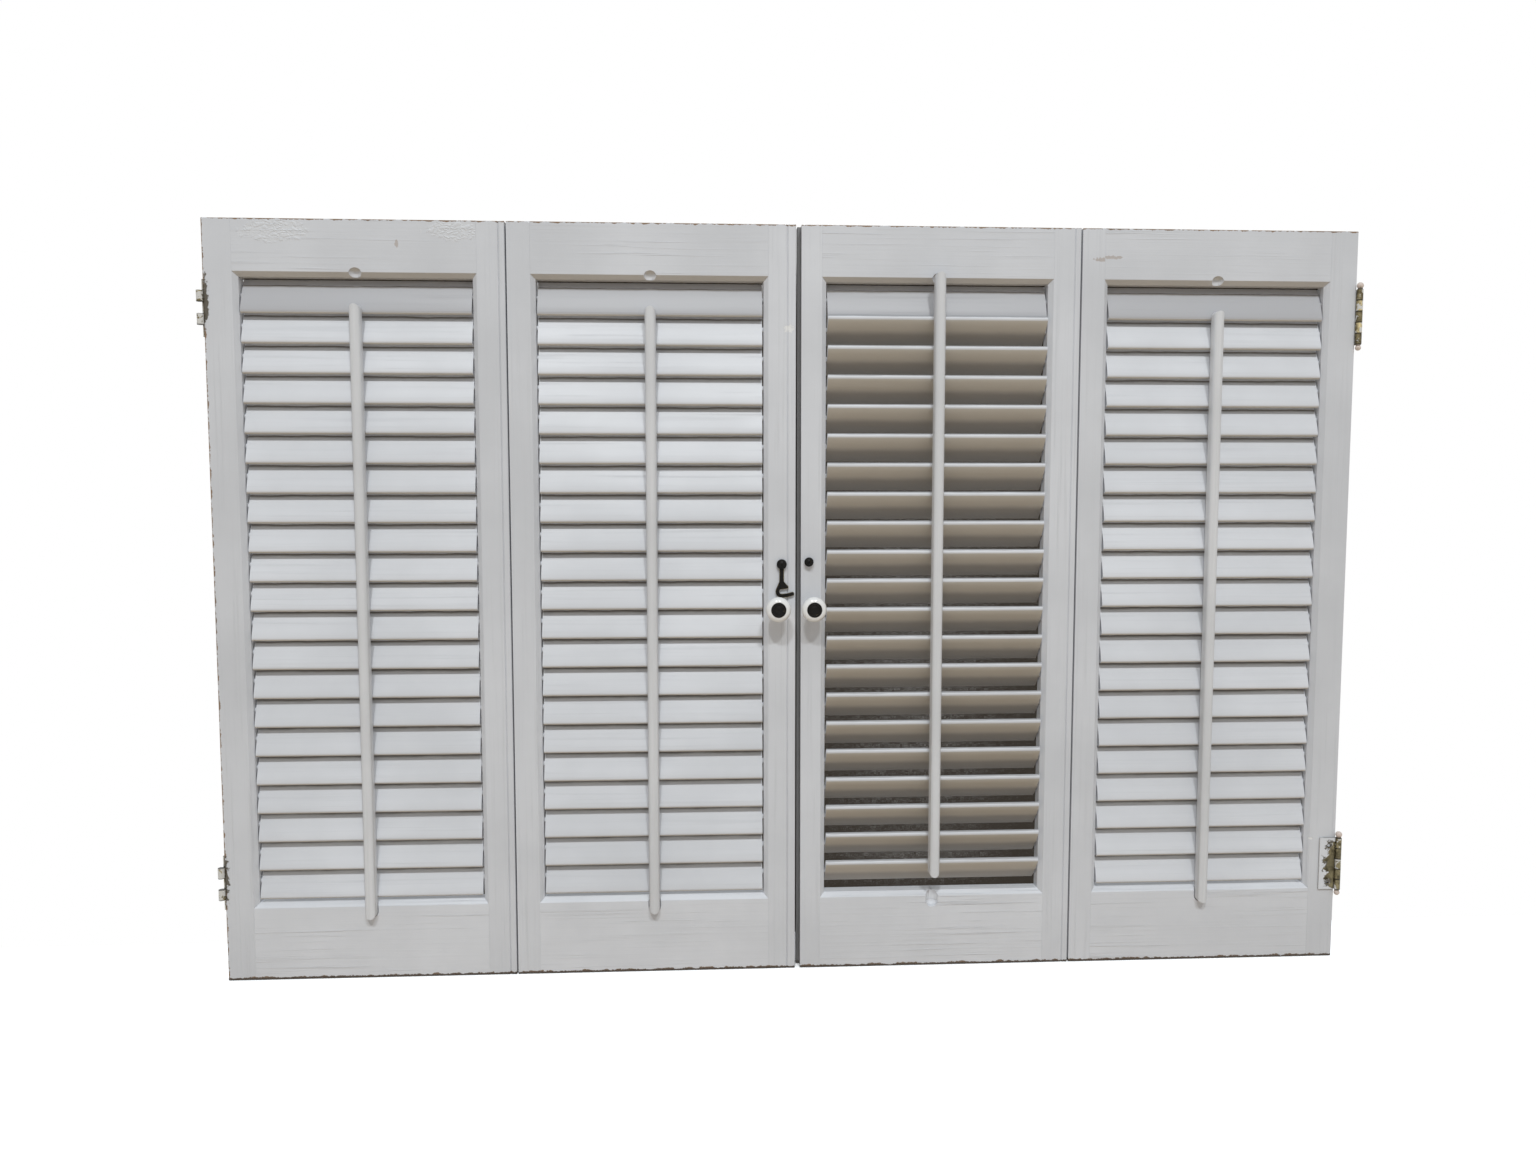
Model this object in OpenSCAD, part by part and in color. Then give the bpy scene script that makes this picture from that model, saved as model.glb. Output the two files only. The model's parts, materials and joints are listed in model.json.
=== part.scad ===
// Louvred interior shutters: two hinged pairs of panels with tilting louvres
// Front faces lie on y = 0, +y goes back, +x right, z = 0 is the bottom edge

/* [Panel frame] */
// Height of a panel
panel_h = 660; // [560:1:760]
// Thickness of stiles and rails
panel_t = 19; // [18:0.5:22]
// Width of a full stile with its moulded edge
stile_w = 28; // [27:0.5:36]
// Clear width between the stiles
opening_w = 196; // [150:1:260]
// Height of the top rail with its moulded edge
top_rail_h = 48; // [42:1:70]
// Height of the bottom rail with its moulded edge
bottom_rail_h = 68.5; // [56:0.5:90]
// Width and depth of the moulded inner edge
bevel = 4; // [2.5:0.5:5]
// Length of the tenons on the rails
tenon_l = 12; // [6:1:14]
// Thickness of the tenons
tenon_t = 6.5; // [5:0.5:8]
// Distance of a tenon from the edges of its rail
tenon_inset = 9; // [7:1:12]

/* [Meeting edges] */
// Overlap of the rebated edges within a pair
rebate_w = 4; // [3:0.5:5]
// Thickness of the front lip of a rebate
lip_t = 9; // [7:0.5:10]
// Gap between the lip and the tongue of a rebate
rebate_gap = 0.5; // [0.3:0.1:0.8]
// Gap between the two panels of a pair
fold_gap = 1.2; // [1:0.1:2]
// Front width of the stile that meets the left pair
meeting_w = 22; // [21:0.5:26]
// Width of the rebate strip that shows between the pairs
meeting_strip = 3; // [2:0.5:4]
// Clear gap between the pairs
meeting_gap = 1.6; // [1.4:0.1:3]
// Distance of the bead from the edge within a pair
bead_w = 5.4; // [4:0.2:7]
// Distance of the bead from the edge between the pairs
meeting_bead_w = 7.2; // [5:0.2:7.4]
// Width and depth of the quirk beside a bead
quirk = 1.2; // [0.8:0.1:1.6]
// Rounding of the outer corner of a bead
bead_r = 1.2; // [0.6:0.1:2]

/* [Louvres] */
// Distance between louvre pivots
pitch = 25.5; // [24:0.1:26]
// Width of a louvre
louvre_w = 32; // [30:0.5:34]
// Thickness of a louvre at its middle
louvre_t = 6.5; // [5.5:0.1:7]
// Radius of the two long edges of a louvre
nose_r = 2.4; // [1.8:0.1:2.6]
// Gap between a louvre's end and the stile
end_gap = 1.2; // [0.8:0.1:1.8]
// First pivot below the top rail
first_pivot = 15.5; // [15.5:0.1:18]
// Tilt of the shut louvres, front edge down
shut_tilt = 68; // [60:1:70]
// Tilt of the raised louvres, front edge up
raised_tilt = 46; // [30:1:50]
// Radius of the round louvre tenons
pivot_r = 2.5; // [2:0.1:3]
// Length of a louvre tenon inside its stile
pivot_l = 7; // [5:0.5:7.5]
// Room past the end of a tenon or pivot in its hole
end_room = 0.5; // [0.3:0.1:1]
// Radial clearance of pivots and pins
run_clear = 0.06; // [0.03:0.01:0.1]

/* [Tilt rods] */
// Width of a tilt rod
rod_w = 9.6; // [8:0.1:10]
// Depth of a tilt rod
rod_t = 8.5; // [7:0.1:10]
// Rod above the first staple
rod_over_top = 9.4; // [6:0.1:10]
// Rod below the last staple
rod_over_bottom = 14.5; // [12:0.1:20]
// Distance from a louvre's pivot to its staple's eye
eye_r = 18.4; // [18.4:0.1:19]
// Radius of the staple wire
wire_r = 0.5; // [0.4:0.05:0.5]
// Distance from the eye to the back of the rod
rod_off = 1.5; // [1.4:0.1:1.8]
// Depth of the groove for the rod's end
groove_d = 4.5; // [4.4:0.1:5]
// Side room of the rod's end in its groove, at the face
groove_room = 0.8; // [0.7:0.1:1.2]

/* [Hinges] */
// Height of a hinge
hinge_h = 48; // [40:1:60]
// Width of a hinge leaf from the pin
leaf_w = 17; // [15:0.5:17.5]
// Thickness of a leaf
leaf_t = 1.2; // [0.9:0.1:1.5]
// Radius of the knuckles
barrel_r = 2.7; // [2.4:0.1:2.8]
// Radius of the pin
pin_r = 1.25; // [1:0.05:1.5]
// Gap between knuckles
knuckle_gap = 0.3; // [0.2:0.05:0.5]
// Half the gap between the two leaves of a shut hinge
leaf_gap = 0.8; // [0.6:0.1:1]
// Gap between a folded-over leaf and the panel's face
lay_gap = 0.4; // [0.3:0.1:0.6]
// Back hinge pin behind the panels' backs
fold_axis_off = 3.4; // [3.3:0.1:3.7]
// Top hinge centre below the panel's top
hinge_from_top = 75; // [65:1:100]
// Bottom hinge centre above the panel's bottom
hinge_from_bottom = 88; // [65:1:110]
// Distance between the two screws of a leaf
leaf_screws = 34; // [30:1:36]
// Distance of a panel leaf's screws from the pin
screw_off = 11.5; // [10:0.1:12]
// Distance of a jamb leaf's screws from the pin
jamb_screw_off = 8; // [7.5:0.1:8]
// Radius of the hinge screws
screw_r = 1.6; // [1.4:0.05:1.8]
// Length of a hinge screw
screw_l = 11; // [8:0.5:11]
// Depth of a screw's countersink
csk_h = 0.7; // [0.5:0.1:0.8]
// Radius of a finial ball
ball_r = 2.9; // [2.6:0.1:3.2]

/* [Knobs and latch] */
// Height of the knobs above the bottom edge
knob_z = 328; // [280:1:340]
// Left knob from the left pair's meeting edge
knob_left = 16.2; // [14:0.1:17]
// Right knob from the right pair's meeting edge
knob_right = 10.4; // [10:0.1:10.8]
// Diameter of a knob
knob_d = 22; // [20:0.5:24]
// Length of a knob
knob_l = 24; // [21:0.5:26]
// Diameter of a knob's base
knob_base_d = 12; // [11:0.5:12]
// Diameter of the black button in a knob
button_d = 13; // [11:0.5:13]
// Length of the knob screw inside the stile
knob_screw_l = 13; // [8:1:14]
// Height of the hook's pivot above the knobs
hook_up = 38.5; // [38:0.5:45]
// Hook's pivot from the left pair's meeting edge
hook_from_edge = 12.4; // [12.2:0.1:13]
// Catch stud from the right pair's meeting edge
stud_from_edge = 7; // [6.8:0.1:8]
// Catch stud above the hook's pivot
stud_rise = 2; // [0:0.1:4]
// Thickness of the hook
hook_t = 1.8; // [1.4:0.1:2]
// Gap between the hook and the stile
hook_off = 0.4; // [0.3:0.1:0.6]
// Radius of the hook's eye
hook_eye_r = 4.2; // [3.8:0.1:4.4]
// Half the width of the hook's mouth
mouth_r = 2.1; // [2:0.05:2.2]
// Radius of the hook's screw
hook_pin_r = 2; // [1.6:0.1:2.2]
// Radius of the catch stud's shank
stud_r = 1.6; // [1.3:0.1:1.7]
// Length of hook screw and stud inside the stile
latch_screw_l = 11; // [8:0.5:14]
// Radius of the hook screw and stud heads
head_r = 4.5; // [4:0.1:4.8]

/* [Hidden] */
$fn = 48;
paint = [0.84, 0.84, 0.84];
louvre_paint = [0.80, 0.79, 0.78];
brass = [0.55, 0.48, 0.30];
black = [0.09, 0.08, 0.08];
porcelain = [0.93, 0.93, 0.92];
// Overshoot of cuts, and the room round a seated screw
cut = 1;
seat = 0.05;

// Front widths of the stiles, then the panels' places along x
left_front = [stile_w, stile_w - rebate_w, meeting_w, stile_w - rebate_w];
left_strip = [0, rebate_w, meeting_strip, rebate_w];
right_lip = [rebate_w, 0, rebate_w, 0];
right_bead = [bead_w, meeting_bead_w, bead_w, 0];
gap_after = [fold_gap, meeting_strip + meeting_gap, fold_gap, 0];
front_w = [for (w = left_front) w + opening_w + stile_w];
function total(list, n) = n <= 0 ? 0 : list[n - 1] + total(list, n - 1);
set_w = total(front_w, 4) + total(gap_after, 4);
function panel_x(k) = -set_w / 2 + total(front_w, k - 1) + total(gap_after, k - 1);
function panel_end(k) = panel_x(k) + front_w[k - 1];
function opening_x(k) = panel_x(k) + left_front[k - 1];
function middle_x(k) = opening_x(k) + opening_w / 2;
tongue_t = panel_t - lip_t - rebate_gap;

// Heights of the opening, the tenons and the louvre pivots
opening_top = panel_h - top_rail_h;
opening_bottom = bottom_rail_h;
louvre_n = 1 + floor((opening_top - opening_bottom - 2 * first_pivot) / pitch);
pivot_y = panel_t / 2;
function pivot_z(i) = opening_top - first_pivot - (i - 1) * pitch;
louvre_l = opening_w - 2 * end_gap;
bore_r = pivot_r + run_clear;
tenon_low = bevel + tenon_inset;

// Lens-shaped louvre section: two flat arcs and a round nose at each edge
nose_at = louvre_w / 2 - nose_r;
half_t = louvre_t / 2;
face_r = (nose_at * nose_at / (half_t - nose_r) + half_t + nose_r) / 2;
face_a = asin(nose_at / (face_r - nose_r));
face_steps = 6;
nose_steps = 8;
function face_arc(side) = [for (n = [1 : face_steps - 1])
    let (a = face_a * (2 * n / face_steps - 1))
    side * [-face_r * sin(a), face_r * cos(a) - face_r + half_t]];
function nose_arc(side) = [for (n = [0 : nose_steps])
    let (a = (90 - face_a) * (2 * n / nose_steps - 1))
    side * [nose_at + nose_r * cos(a), nose_r * sin(a)]];

// Staple eyes, tilt rods and the grooves for the rods' ends
function eye_y(tilt) = pivot_y - eye_r * cos(tilt);
function eye_z(i, tilt) = pivot_z(i) - eye_r * sin(tilt);
rod_r = rod_w / 2;
rod_l = (louvre_n - 1) * pitch + rod_over_top + rod_over_bottom;
groove_half = rod_r + groove_room;
groove_r = (pow(groove_half, 2) + pow(groove_d, 2)) / (2 * groove_d);
groove_y = groove_d - groove_r;
wire_n = 8;
wire_gap = 0.2;
leg_in = 2;
link_half = 2 * wire_r + wire_gap;
link_reach = 2 * wire_r + wire_gap / 2;
yoke_half = link_half + 4 * wire_gap;

// Hinge places: edge hinges at the front corners, fold hinges on the back
pin_out = leaf_t + leaf_gap;
pin_front = leaf_t + leaf_gap + lay_gap;
fold_leaf_gap = fold_axis_off - leaf_t;
hinge_z = [panel_h - hinge_from_top, hinge_from_bottom];
knuckle_h = (hinge_h - 4 * knuckle_gap) / 5;
three = [0, 2, 4];
two = [1, 3];
function knuckle_z(n) = n * (knuckle_h + knuckle_gap) - hinge_h / 2;
screw_z = [-leaf_screws / 2, leaf_screws / 2];
slot_w = 0.8;
slot_d = 0.45;
slot_turn = [25, 70];
in_wood = screw_l - leaf_t + end_room;
left_fold_x = panel_end(1) - rebate_w + fold_gap / 2;
right_fold_x = panel_end(3) - rebate_w + fold_gap / 2;
collar_h = 0.9;
collar_r = pin_r + 1;
small_ball_r = ball_r - 0.4;

// Hook and stud places: the throat reaches the stud when the hook swings up
hook_x = panel_end(2) - hook_from_edge;
hook_z = knob_z + hook_up;
stud_x = panel_x(3) + stud_from_edge;
stud_z = hook_z + stud_rise;
throat_at = norm([stud_x - hook_x, stud_rise]);
neck_w = 3.9;
jaw_t = 3.3;
jaw_a = 20;
bowl_r = mouth_r + jaw_t;
bowl_a = 25;
tab_u = 6;
tab_v = 4.4;
flare_v = 9;
arc_step = 10;
head_h = 3.2;

// Knob profile: base, cove and a rounded head with a recess for the button
knob_screw_r = 2;
button_r = button_d / 2;
button_h = 1.8;
recess_h = 1.6;
rim_r = 5.2;
head_z = knob_l - button_h - rim_r;
cove_r = 4.2;
cove_out = 1.5;

banks = [1, 2, 4];
live = 3;
stray = 1;
sides = ["left_stile", "right_stile", "top_rail", "bottom_rail"];
function panel_node(k, what) = str("panel_", k, "_", what);
function louvre_node(i) = panel_node(live, str("louvre_", i < 10 ? "0" : "", i));

// A prism along y with its outline in x and z, from the front face back
module through(depth) {
    translate([0, depth, 0])
        rotate([90, 0, 0])
            linear_extrude(depth)
                children();
}

// A prism along x with its outline in y and z
module along(length) {
    rotate([90, 0, 90])
        linear_extrude(length)
            children();
}

module along_x(r, length) {
    rotate([0, 90, 0])
        cylinder(r = r, h = length);
}

module front_hole(x, z, r, depth) {
    translate([x, depth, z])
        rotate([90, 0, 0])
            cylinder(r = r, h = depth + cut);
}

// Section of a stile with its moulded inner edge at x = 0 and its outer edge to +x
module stile_section(front, lip, strip, bead) {
    outer = lip > 0
        ? [[front, lip_t], [front - lip, lip_t], [front - lip, panel_t]]
        : strip > 0
        ? [[front, panel_t - tongue_t], [front + strip, panel_t - tongue_t], [front + strip, panel_t]]
        : [[front, panel_t]];
    difference() {
        polygon(concat(
            [[0, bevel], [bevel, 0], [front, 0]],
            outer,
            [[bevel, panel_t], [0, panel_t - bevel]]));
        if (bead > 0) {
            translate([front - bead, 0])
                polygon([[-quirk, -quirk], [quirk, -quirk], [0, quirk]]);
            difference() {
                translate([front - bead_r, -cut])
                    square(bead_r + cut);
                translate([front - bead_r, bead_r])
                    circle(bead_r);
            }
        }
    }
}

// Front outline of a stile: the moulding stops in a mitre at each rail
module stile_outline(width) {
    polygon([
        [0, opening_bottom], [bevel, opening_bottom - bevel], [bevel, 0], [width, 0],
        [width, panel_h], [bevel, panel_h], [bevel, opening_top + bevel], [0, opening_top]]);
}

module mortises() {
    y = (panel_t - tenon_t) / 2;
    length = tenon_l + end_room + cut;
    translate([bevel - cut, y, opening_top + tenon_low])
        cube([length, tenon_t, top_rail_h - tenon_low - tenon_inset]);
    translate([bevel - cut, y, tenon_inset])
        cube([length, tenon_t, bottom_rail_h - tenon_low - tenon_inset]);
}

module pivot_bores() {
    for (i = [1 : louvre_n])
        translate([-cut, pivot_y, pivot_z(i)])
            along_x(bore_r, pivot_l + end_room + cut);
}

module edge_screw_holes(front) {
    for (z = hinge_z)
        for (dz = screw_z)
            translate([front - in_wood, screw_off - pin_front, z + dz])
                along_x(screw_r + seat, in_wood + cut);
}

module fold_screw_holes(pin_x) {
    for (z = hinge_z)
        for (dz = screw_z)
            translate([pin_x - screw_off, panel_t + cut, z + dz])
                rotate([90, 0, 0])
                    cylinder(r = screw_r + seat, h = in_wood + cut);
}

module stile(front, lip, strip, bead) {
    difference() {
        intersection() {
            linear_extrude(panel_h)
                stile_section(front, lip, strip, bead);
            through(panel_t)
                stile_outline(front + strip);
        }
        mortises();
        pivot_bores();
        children();
    }
}

module left_stile(k) {
    front = left_front[k - 1];
    strip = left_strip[k - 1];
    color(paint)
        translate([opening_x(k), 0, 0])
            mirror([1, 0, 0])
                stile(front, 0, strip, 0) {
                    if (k == 1)
                        edge_screw_holes(front);
                    if (k == 2 || k == 4)
                        fold_screw_holes(front + strip + fold_gap / 2);
                    if (k == 3) {
                        front_hole(front - knob_right, knob_z, knob_screw_r + seat, knob_screw_l + end_room);
                        front_hole(front - stud_from_edge, stud_z, stud_r + seat, latch_screw_l + end_room);
                    }
                }
}

module right_stile(k) {
    front = stile_w;
    lip = right_lip[k - 1];
    color(paint)
        translate([opening_x(k) + opening_w, 0, 0])
            stile(front, lip, 0, right_bead[k - 1]) {
                if (k == 4)
                    edge_screw_holes(front);
                if (k == 1 || k == 3)
                    fold_screw_holes(front - lip + fold_gap / 2);
                if (k == 2) {
                    front_hole(front - knob_left, knob_z, knob_screw_r + seat, knob_screw_l + end_room);
                    front_hole(front - hook_from_edge, hook_z, hook_pin_r + seat, latch_screw_l + end_room);
                }
            }
}

// A rail with its moulded edge at z = 0, mitred to the stiles, and its tenons
module rail(height) {
    length = opening_w + 2 * bevel;
    intersection() {
        along(length)
            polygon([
                [bevel, 0], [panel_t - bevel, 0], [panel_t, bevel],
                [panel_t, height], [0, height], [0, bevel]]);
        through(panel_t)
            polygon([
                [bevel, 0], [length - bevel, 0], [length, bevel],
                [length, height], [0, height], [0, bevel]]);
    }
    for (x = [-tenon_l, length - cut])
        translate([x, (panel_t - tenon_t) / 2, tenon_low])
            cube([tenon_l + cut, tenon_t, height - tenon_low - tenon_inset]);
}

// Round-nosed gouge that takes the end of a tilt rod, from its end up to the opening
module rod_groove(end_z, up) {
    translate([0, groove_y, end_z]) {
        sphere(groove_r);
        mirror([0, 0, up ? 0 : 1])
            cylinder(r = groove_r, h = panel_h / 4);
    }
}

module top_rail(k) {
    end_z = eye_z(1, -raised_tilt) + rod_over_top - rod_r;
    color(paint)
        difference() {
            translate([opening_x(k) - bevel, 0, opening_top])
                rail(top_rail_h);
            translate([middle_x(k), 0, 0])
                rod_groove(end_z, false);
        }
}

module bottom_rail(k) {
    end_z = eye_z(louvre_n, shut_tilt) - rod_over_bottom + rod_r;
    color(paint)
        difference() {
            translate([opening_x(k) - bevel, 0, opening_bottom])
                mirror([0, 0, 1])
                    rail(bottom_rail_h);
            translate([middle_x(k), 0, 0])
                rod_groove(end_z, true);
        }
}

// A straight piece of staple wire along z
module wire(length) {
    rotate([0, 0, 180 / wire_n])
        cylinder(r = wire_r, h = length, $fn = wire_n);
}

// Staple in a louvre's front edge, with its round crown along x at the eye
module louvre_staple() {
    translate([-yoke_half - wire_r, -eye_r, 0])
        along_x(wire_r, 2 * (yoke_half + wire_r));
    for (x = [-yoke_half, yoke_half])
        translate([x, -eye_r, 0])
            rotate([-90, 0, 0])
                wire(eye_r - louvre_w / 2 + leg_in);
}

// A louvre level on its pivots, with its front edge to -y
module louvre(stapled) {
    translate([-louvre_l / 2, 0, 0])
        along(louvre_l)
            polygon(concat(face_arc(1), nose_arc(-1), face_arc(-1), nose_arc(1)));
    length = pivot_l + end_gap + cut;
    for (x = [-louvre_l / 2 - pivot_l - end_gap, louvre_l / 2 - cut])
        translate([x, 0, 0])
            along_x(pivot_r, length);
    if (stapled)
        louvre_staple();
}

// Louvre i of panel k, front edge down by the tilt
module placed_louvre(k, i, tilt, stapled) {
    translate([middle_x(k), pivot_y, pivot_z(i)])
        rotate([tilt, 0, 0])
            louvre(stapled);
}

module louvre_bank(k) {
    color(louvre_paint)
        for (i = [1 : louvre_n])
            placed_louvre(k, i, shut_tilt, true);
}

module live_louvre(i) {
    color(louvre_paint)
        if (i == stray)
            placed_louvre(live, i, shut_tilt, false);
        else
            placed_louvre(live, i, -raised_tilt, true);
}

// Staple in the back of a rod, in the plane of its travel, round a louvre's crown
module rod_staple() {
    translate([0, link_reach, -link_half - wire_r])
        wire(2 * (link_half + wire_r));
    for (z = [-link_half, link_half])
        translate([0, -rod_off - leg_in, z])
            rotate([-90, 0, 0])
                wire(rod_off + leg_in + link_reach);
}

// Half-round rod with rounded ends, its first eye at the origin
module rod(first) {
    translate([0, -rod_off, rod_over_top - rod_l])
        intersection() {
            linear_extrude(rod_l)
                union() {
                    translate([-rod_r, rod_r - rod_t])
                        square([rod_w, rod_t - rod_r]);
                    translate([0, rod_r - rod_t])
                        circle(rod_r);
                }
            translate([0, -rod_t, 0])
                through(rod_t)
                    union() {
                        translate([-rod_r, rod_r])
                            square([rod_w, rod_l - rod_w]);
                        for (z = [rod_r, rod_l - rod_r])
                            translate([0, z])
                                circle(rod_r);
                    }
        }
    for (i = [first : louvre_n])
        translate([0, 0, (1 - i) * pitch])
            rod_staple();
}

module tilt_rod(k) {
    tilt = k == live ? -raised_tilt : shut_tilt;
    color(louvre_paint)
        translate([middle_x(k), eye_y(tilt), eye_z(1, tilt)])
            rod(k == live ? stray + 1 : 1);
}

// Countersunk screw along -x with its head's face at x = 0, grown to cut its hole
module hinge_screw(grow) {
    rotate([0, -90, 0]) {
        translate([0, 0, -grow])
            cylinder(r1 = screw_r + csk_h + 2 * grow, r2 = screw_r + grow, h = csk_h + grow);
        cylinder(r = screw_r + grow, h = screw_l + grow);
    }
}

// Half a hinge about its pin on z, its plate to +y on the -x side
module leaf(gap, own, others, off) {
    difference() {
        union() {
            translate([-gap - leaf_t, 0, -hinge_h / 2])
                cube([leaf_t, leaf_w, hinge_h]);
            for (n = own)
                translate([0, 0, knuckle_z(n)])
                    cylinder(r = barrel_r, h = knuckle_h);
        }
        for (n = others)
            translate([0, 0, knuckle_z(n) - knuckle_gap])
                cylinder(r = barrel_r + knuckle_gap, h = knuckle_h + 2 * knuckle_gap);
        cylinder(r = pin_r + run_clear, h = hinge_h + cut, center = true);
        for (z = screw_z)
            translate([-gap, off, z])
                hinge_screw(seat);
    }
}

// The two screws of a leaf, with slotted heads turned as they were driven
module leaf_screw_pair(gap) {
    for (n = [0, 1])
        translate([-gap, screw_off, screw_z[n]])
            difference() {
                hinge_screw(0);
                rotate([slot_turn[n], 0, 0])
                    translate([-slot_d, -screw_r - cut, -slot_w / 2])
                        cube([slot_d + cut, 2 * (screw_r + cut), slot_w]);
            }
}

module panel_leaf(gap, own, others) {
    leaf(gap, own, others, screw_off);
    leaf_screw_pair(gap);
}

// Loose pin with a ball finial at each end
module finial_pin() {
    reach = hinge_h / 2 + run_clear;
    cylinder(r = pin_r, h = 2 * reach, center = true);
    for (end = [[0, ball_r], [1, small_ball_r]])
        mirror([0, 0, end[0]])
            translate([0, 0, reach]) {
                cylinder(r = collar_r, h = collar_h);
                translate([0, 0, collar_h + end[1] * 0.85])
                    sphere(end[1]);
            }
}

module plain_pin() {
    reach = hinge_h / 2 + run_clear;
    cylinder(r = pin_r, h = 2 * reach, center = true);
    for (z = [-reach - collar_h, reach])
        translate([0, 0, z])
            cylinder(r = collar_r, h = collar_h);
}

module at_right_pin(z) {
    translate([panel_end(4) + pin_out, -pin_front, z])
        children();
}

module right_jamb_leaf() {
    color(brass)
        at_right_pin(hinge_z[0])
            mirror([1, 0, 0])
                leaf(leaf_gap, two, three, jamb_screw_off);
}

// Lower jamb leaf, folded right round onto the panel's front face
module loose_leaf() {
    color(brass)
        at_right_pin(hinge_z[1])
            rotate([0, 0, 90])
                mirror([1, 0, 0])
                    leaf(leaf_gap, two, three, jamb_screw_off);
}

module edge_leaves(k) {
    color(brass)
        for (z = hinge_z)
            if (k == 4)
                at_right_pin(z)
                    panel_leaf(leaf_gap, three, two);
            else
                translate([panel_x(1) - pin_out, -pin_front, z])
                    mirror([1, 0, 0])
                        panel_leaf(leaf_gap, two, three);
}

module hinge_pins() {
    color(brass)
        for (z = hinge_z)
            at_right_pin(z)
                finial_pin();
}

// Back leaves of a folding pair, flat on the backs, with the pins on the outer panel
module fold_leaves(k) {
    outer = k == 1 || k == 4;
    pin_x = k < 3 ? left_fold_x : right_fold_x;
    side = k == 1 || k == 3 ? 0 : 1;
    color(brass)
        for (z = hinge_z)
            translate([pin_x, panel_t + fold_axis_off, z]) {
                mirror([side, 0, 0])
                    rotate([0, 0, 90])
                        panel_leaf(fold_leaf_gap, outer ? three : two, outer ? two : three);
                if (outer)
                    plain_pin();
            }
}

// A spherical cap on z = 0
module dome(r, h) {
    cap_r = (r * r + h * h) / (2 * h);
    rotate_extrude()
        intersection() {
            translate([0, h - cap_r])
                circle(cap_r);
            square([r, h]);
        }
}

module facing_front(x, z) {
    translate([x, 0, z])
        rotate([90, 0, 0])
            children();
}

module knob(k) {
    color(porcelain)
        facing_front(knob_x(k), knob_z)
            rotate_extrude()
                difference() {
                    union() {
                        square([knob_base_d / 2, head_z]);
                        translate([0, head_z - rim_r])
                            square([knob_d / 2 - rim_r, 2 * rim_r]);
                        intersection() {
                            translate([knob_d / 2 - rim_r, head_z])
                                circle(rim_r);
                            square(knob_l);
                        }
                    }
                    translate([knob_base_d / 2 + cove_out, (head_z - rim_r) * 0.65])
                        circle(cove_r);
                    square([knob_screw_r + seat, knob_l]);
                    translate([0, head_z + rim_r - recess_h])
                        square([button_r + seat, knob_l]);
                }
}

function knob_x(k) = k == 2 ? panel_end(2) - knob_left : panel_x(3) + knob_right;

// Black screw button with a raised ring, and its shank through knob and stile
module knob_screw(k) {
    floor_z = head_z + rim_r - recess_h + seat;
    ring_r = 0.8;
    color(black)
        facing_front(knob_x(k), knob_z) {
            translate([0, 0, -knob_screw_l])
                cylinder(r = knob_screw_r, h = knob_screw_l + floor_z + seat);
            translate([0, 0, floor_z]) {
                cylinder(r = button_r, h = button_h);
                translate([0, 0, button_h - seat])
                    dome(button_r - 3 * ring_r, ring_r);
                translate([0, 0, button_h])
                    rotate_extrude()
                        translate([button_r - 1.5 * ring_r, 0])
                            circle(ring_r);
            }
        }
}

// Points on a circle from one angle to another, and a point swung from straight down
function arc(at, r, from, to) =
    let (steps = ceil(abs(to - from) / arc_step))
    [for (n = [0 : steps]) at + r * [cos(from + (to - from) * n / steps), sin(from + (to - from) * n / steps)]];
function swing(r, a) = r * [sin(a), -cos(a)];

// Hook hanging from its eye, with its mouth cut along the stud's path
module hook_outline() {
    throat = [0, -throat_at];
    half_neck = neck_w / 2;
    eye_a = asin(half_neck / hook_eye_r);
    tab_a = asin(tab_u / (throat_at - mouth_r));
    difference() {
        polygon(concat(
            arc([0, 0], hook_eye_r, 270 - eye_a, eye_a - 90),
            [[half_neck, flare_v - throat_at], [tab_u, tab_v - throat_at]],
            arc([0, 0], throat_at - mouth_r, tab_a - 90, -90),
            arc(throat, mouth_r, 90, 270),
            arc([0, 0], throat_at + mouth_r, -90, jaw_a - 90),
            arc(swing(throat_at + mouth_r + jaw_t / 2, jaw_a), jaw_t / 2, jaw_a + 90, jaw_a - 90),
            arc([0, 0], throat_at + bowl_r, jaw_a - 90, -90),
            arc(throat, bowl_r, 270, 180 - bowl_a),
            [[-half_neck, flare_v - throat_at]]));
        circle(hook_pin_r + run_clear);
    }
}

module latch_hook() {
    color(black)
        translate([hook_x, -hook_off - hook_t, hook_z])
            through(hook_t)
                hook_outline();
}

// A slotted round-head screw whose head starts a distance off the face
module round_screw(r, off, head, turn) {
    translate([0, 0, -latch_screw_l])
        cylinder(r = r, h = latch_screw_l + off + seat);
    translate([0, 0, off])
        difference() {
            dome(head, head_h);
            rotate([0, 0, turn])
                translate([-head, -slot_w / 2, head_h * 0.6])
                    cube([2 * head, slot_w, head_h]);
        }
}

module hook_screw() {
    color(black)
        facing_front(hook_x, hook_z)
            round_screw(hook_pin_r, hook_t + 2 * hook_off, head_r, 80);
}

module catch_stud() {
    color(black)
        facing_front(stud_x, stud_z)
            round_screw(stud_r, hook_t + 3 * hook_off, head_r - hook_off, 40);
}

for (k = [1 : 4]) {
    left_stile(k);
    right_stile(k);
    top_rail(k);
    bottom_rail(k);
    tilt_rod(k);
    fold_leaves(k);
}
for (k = banks)
    louvre_bank(k);
for (i = [1 : louvre_n])
    live_louvre(i);
for (k = [1, 4])
    edge_leaves(k);
for (k = [2, 3]) {
    knob(k);
    knob_screw(k);
}
right_jamb_leaf();
loose_leaf();
hinge_pins();  // panel_4_hinge_pins
latch_hook();
hook_screw();
catch_stud();
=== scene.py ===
import json
import math

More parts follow.
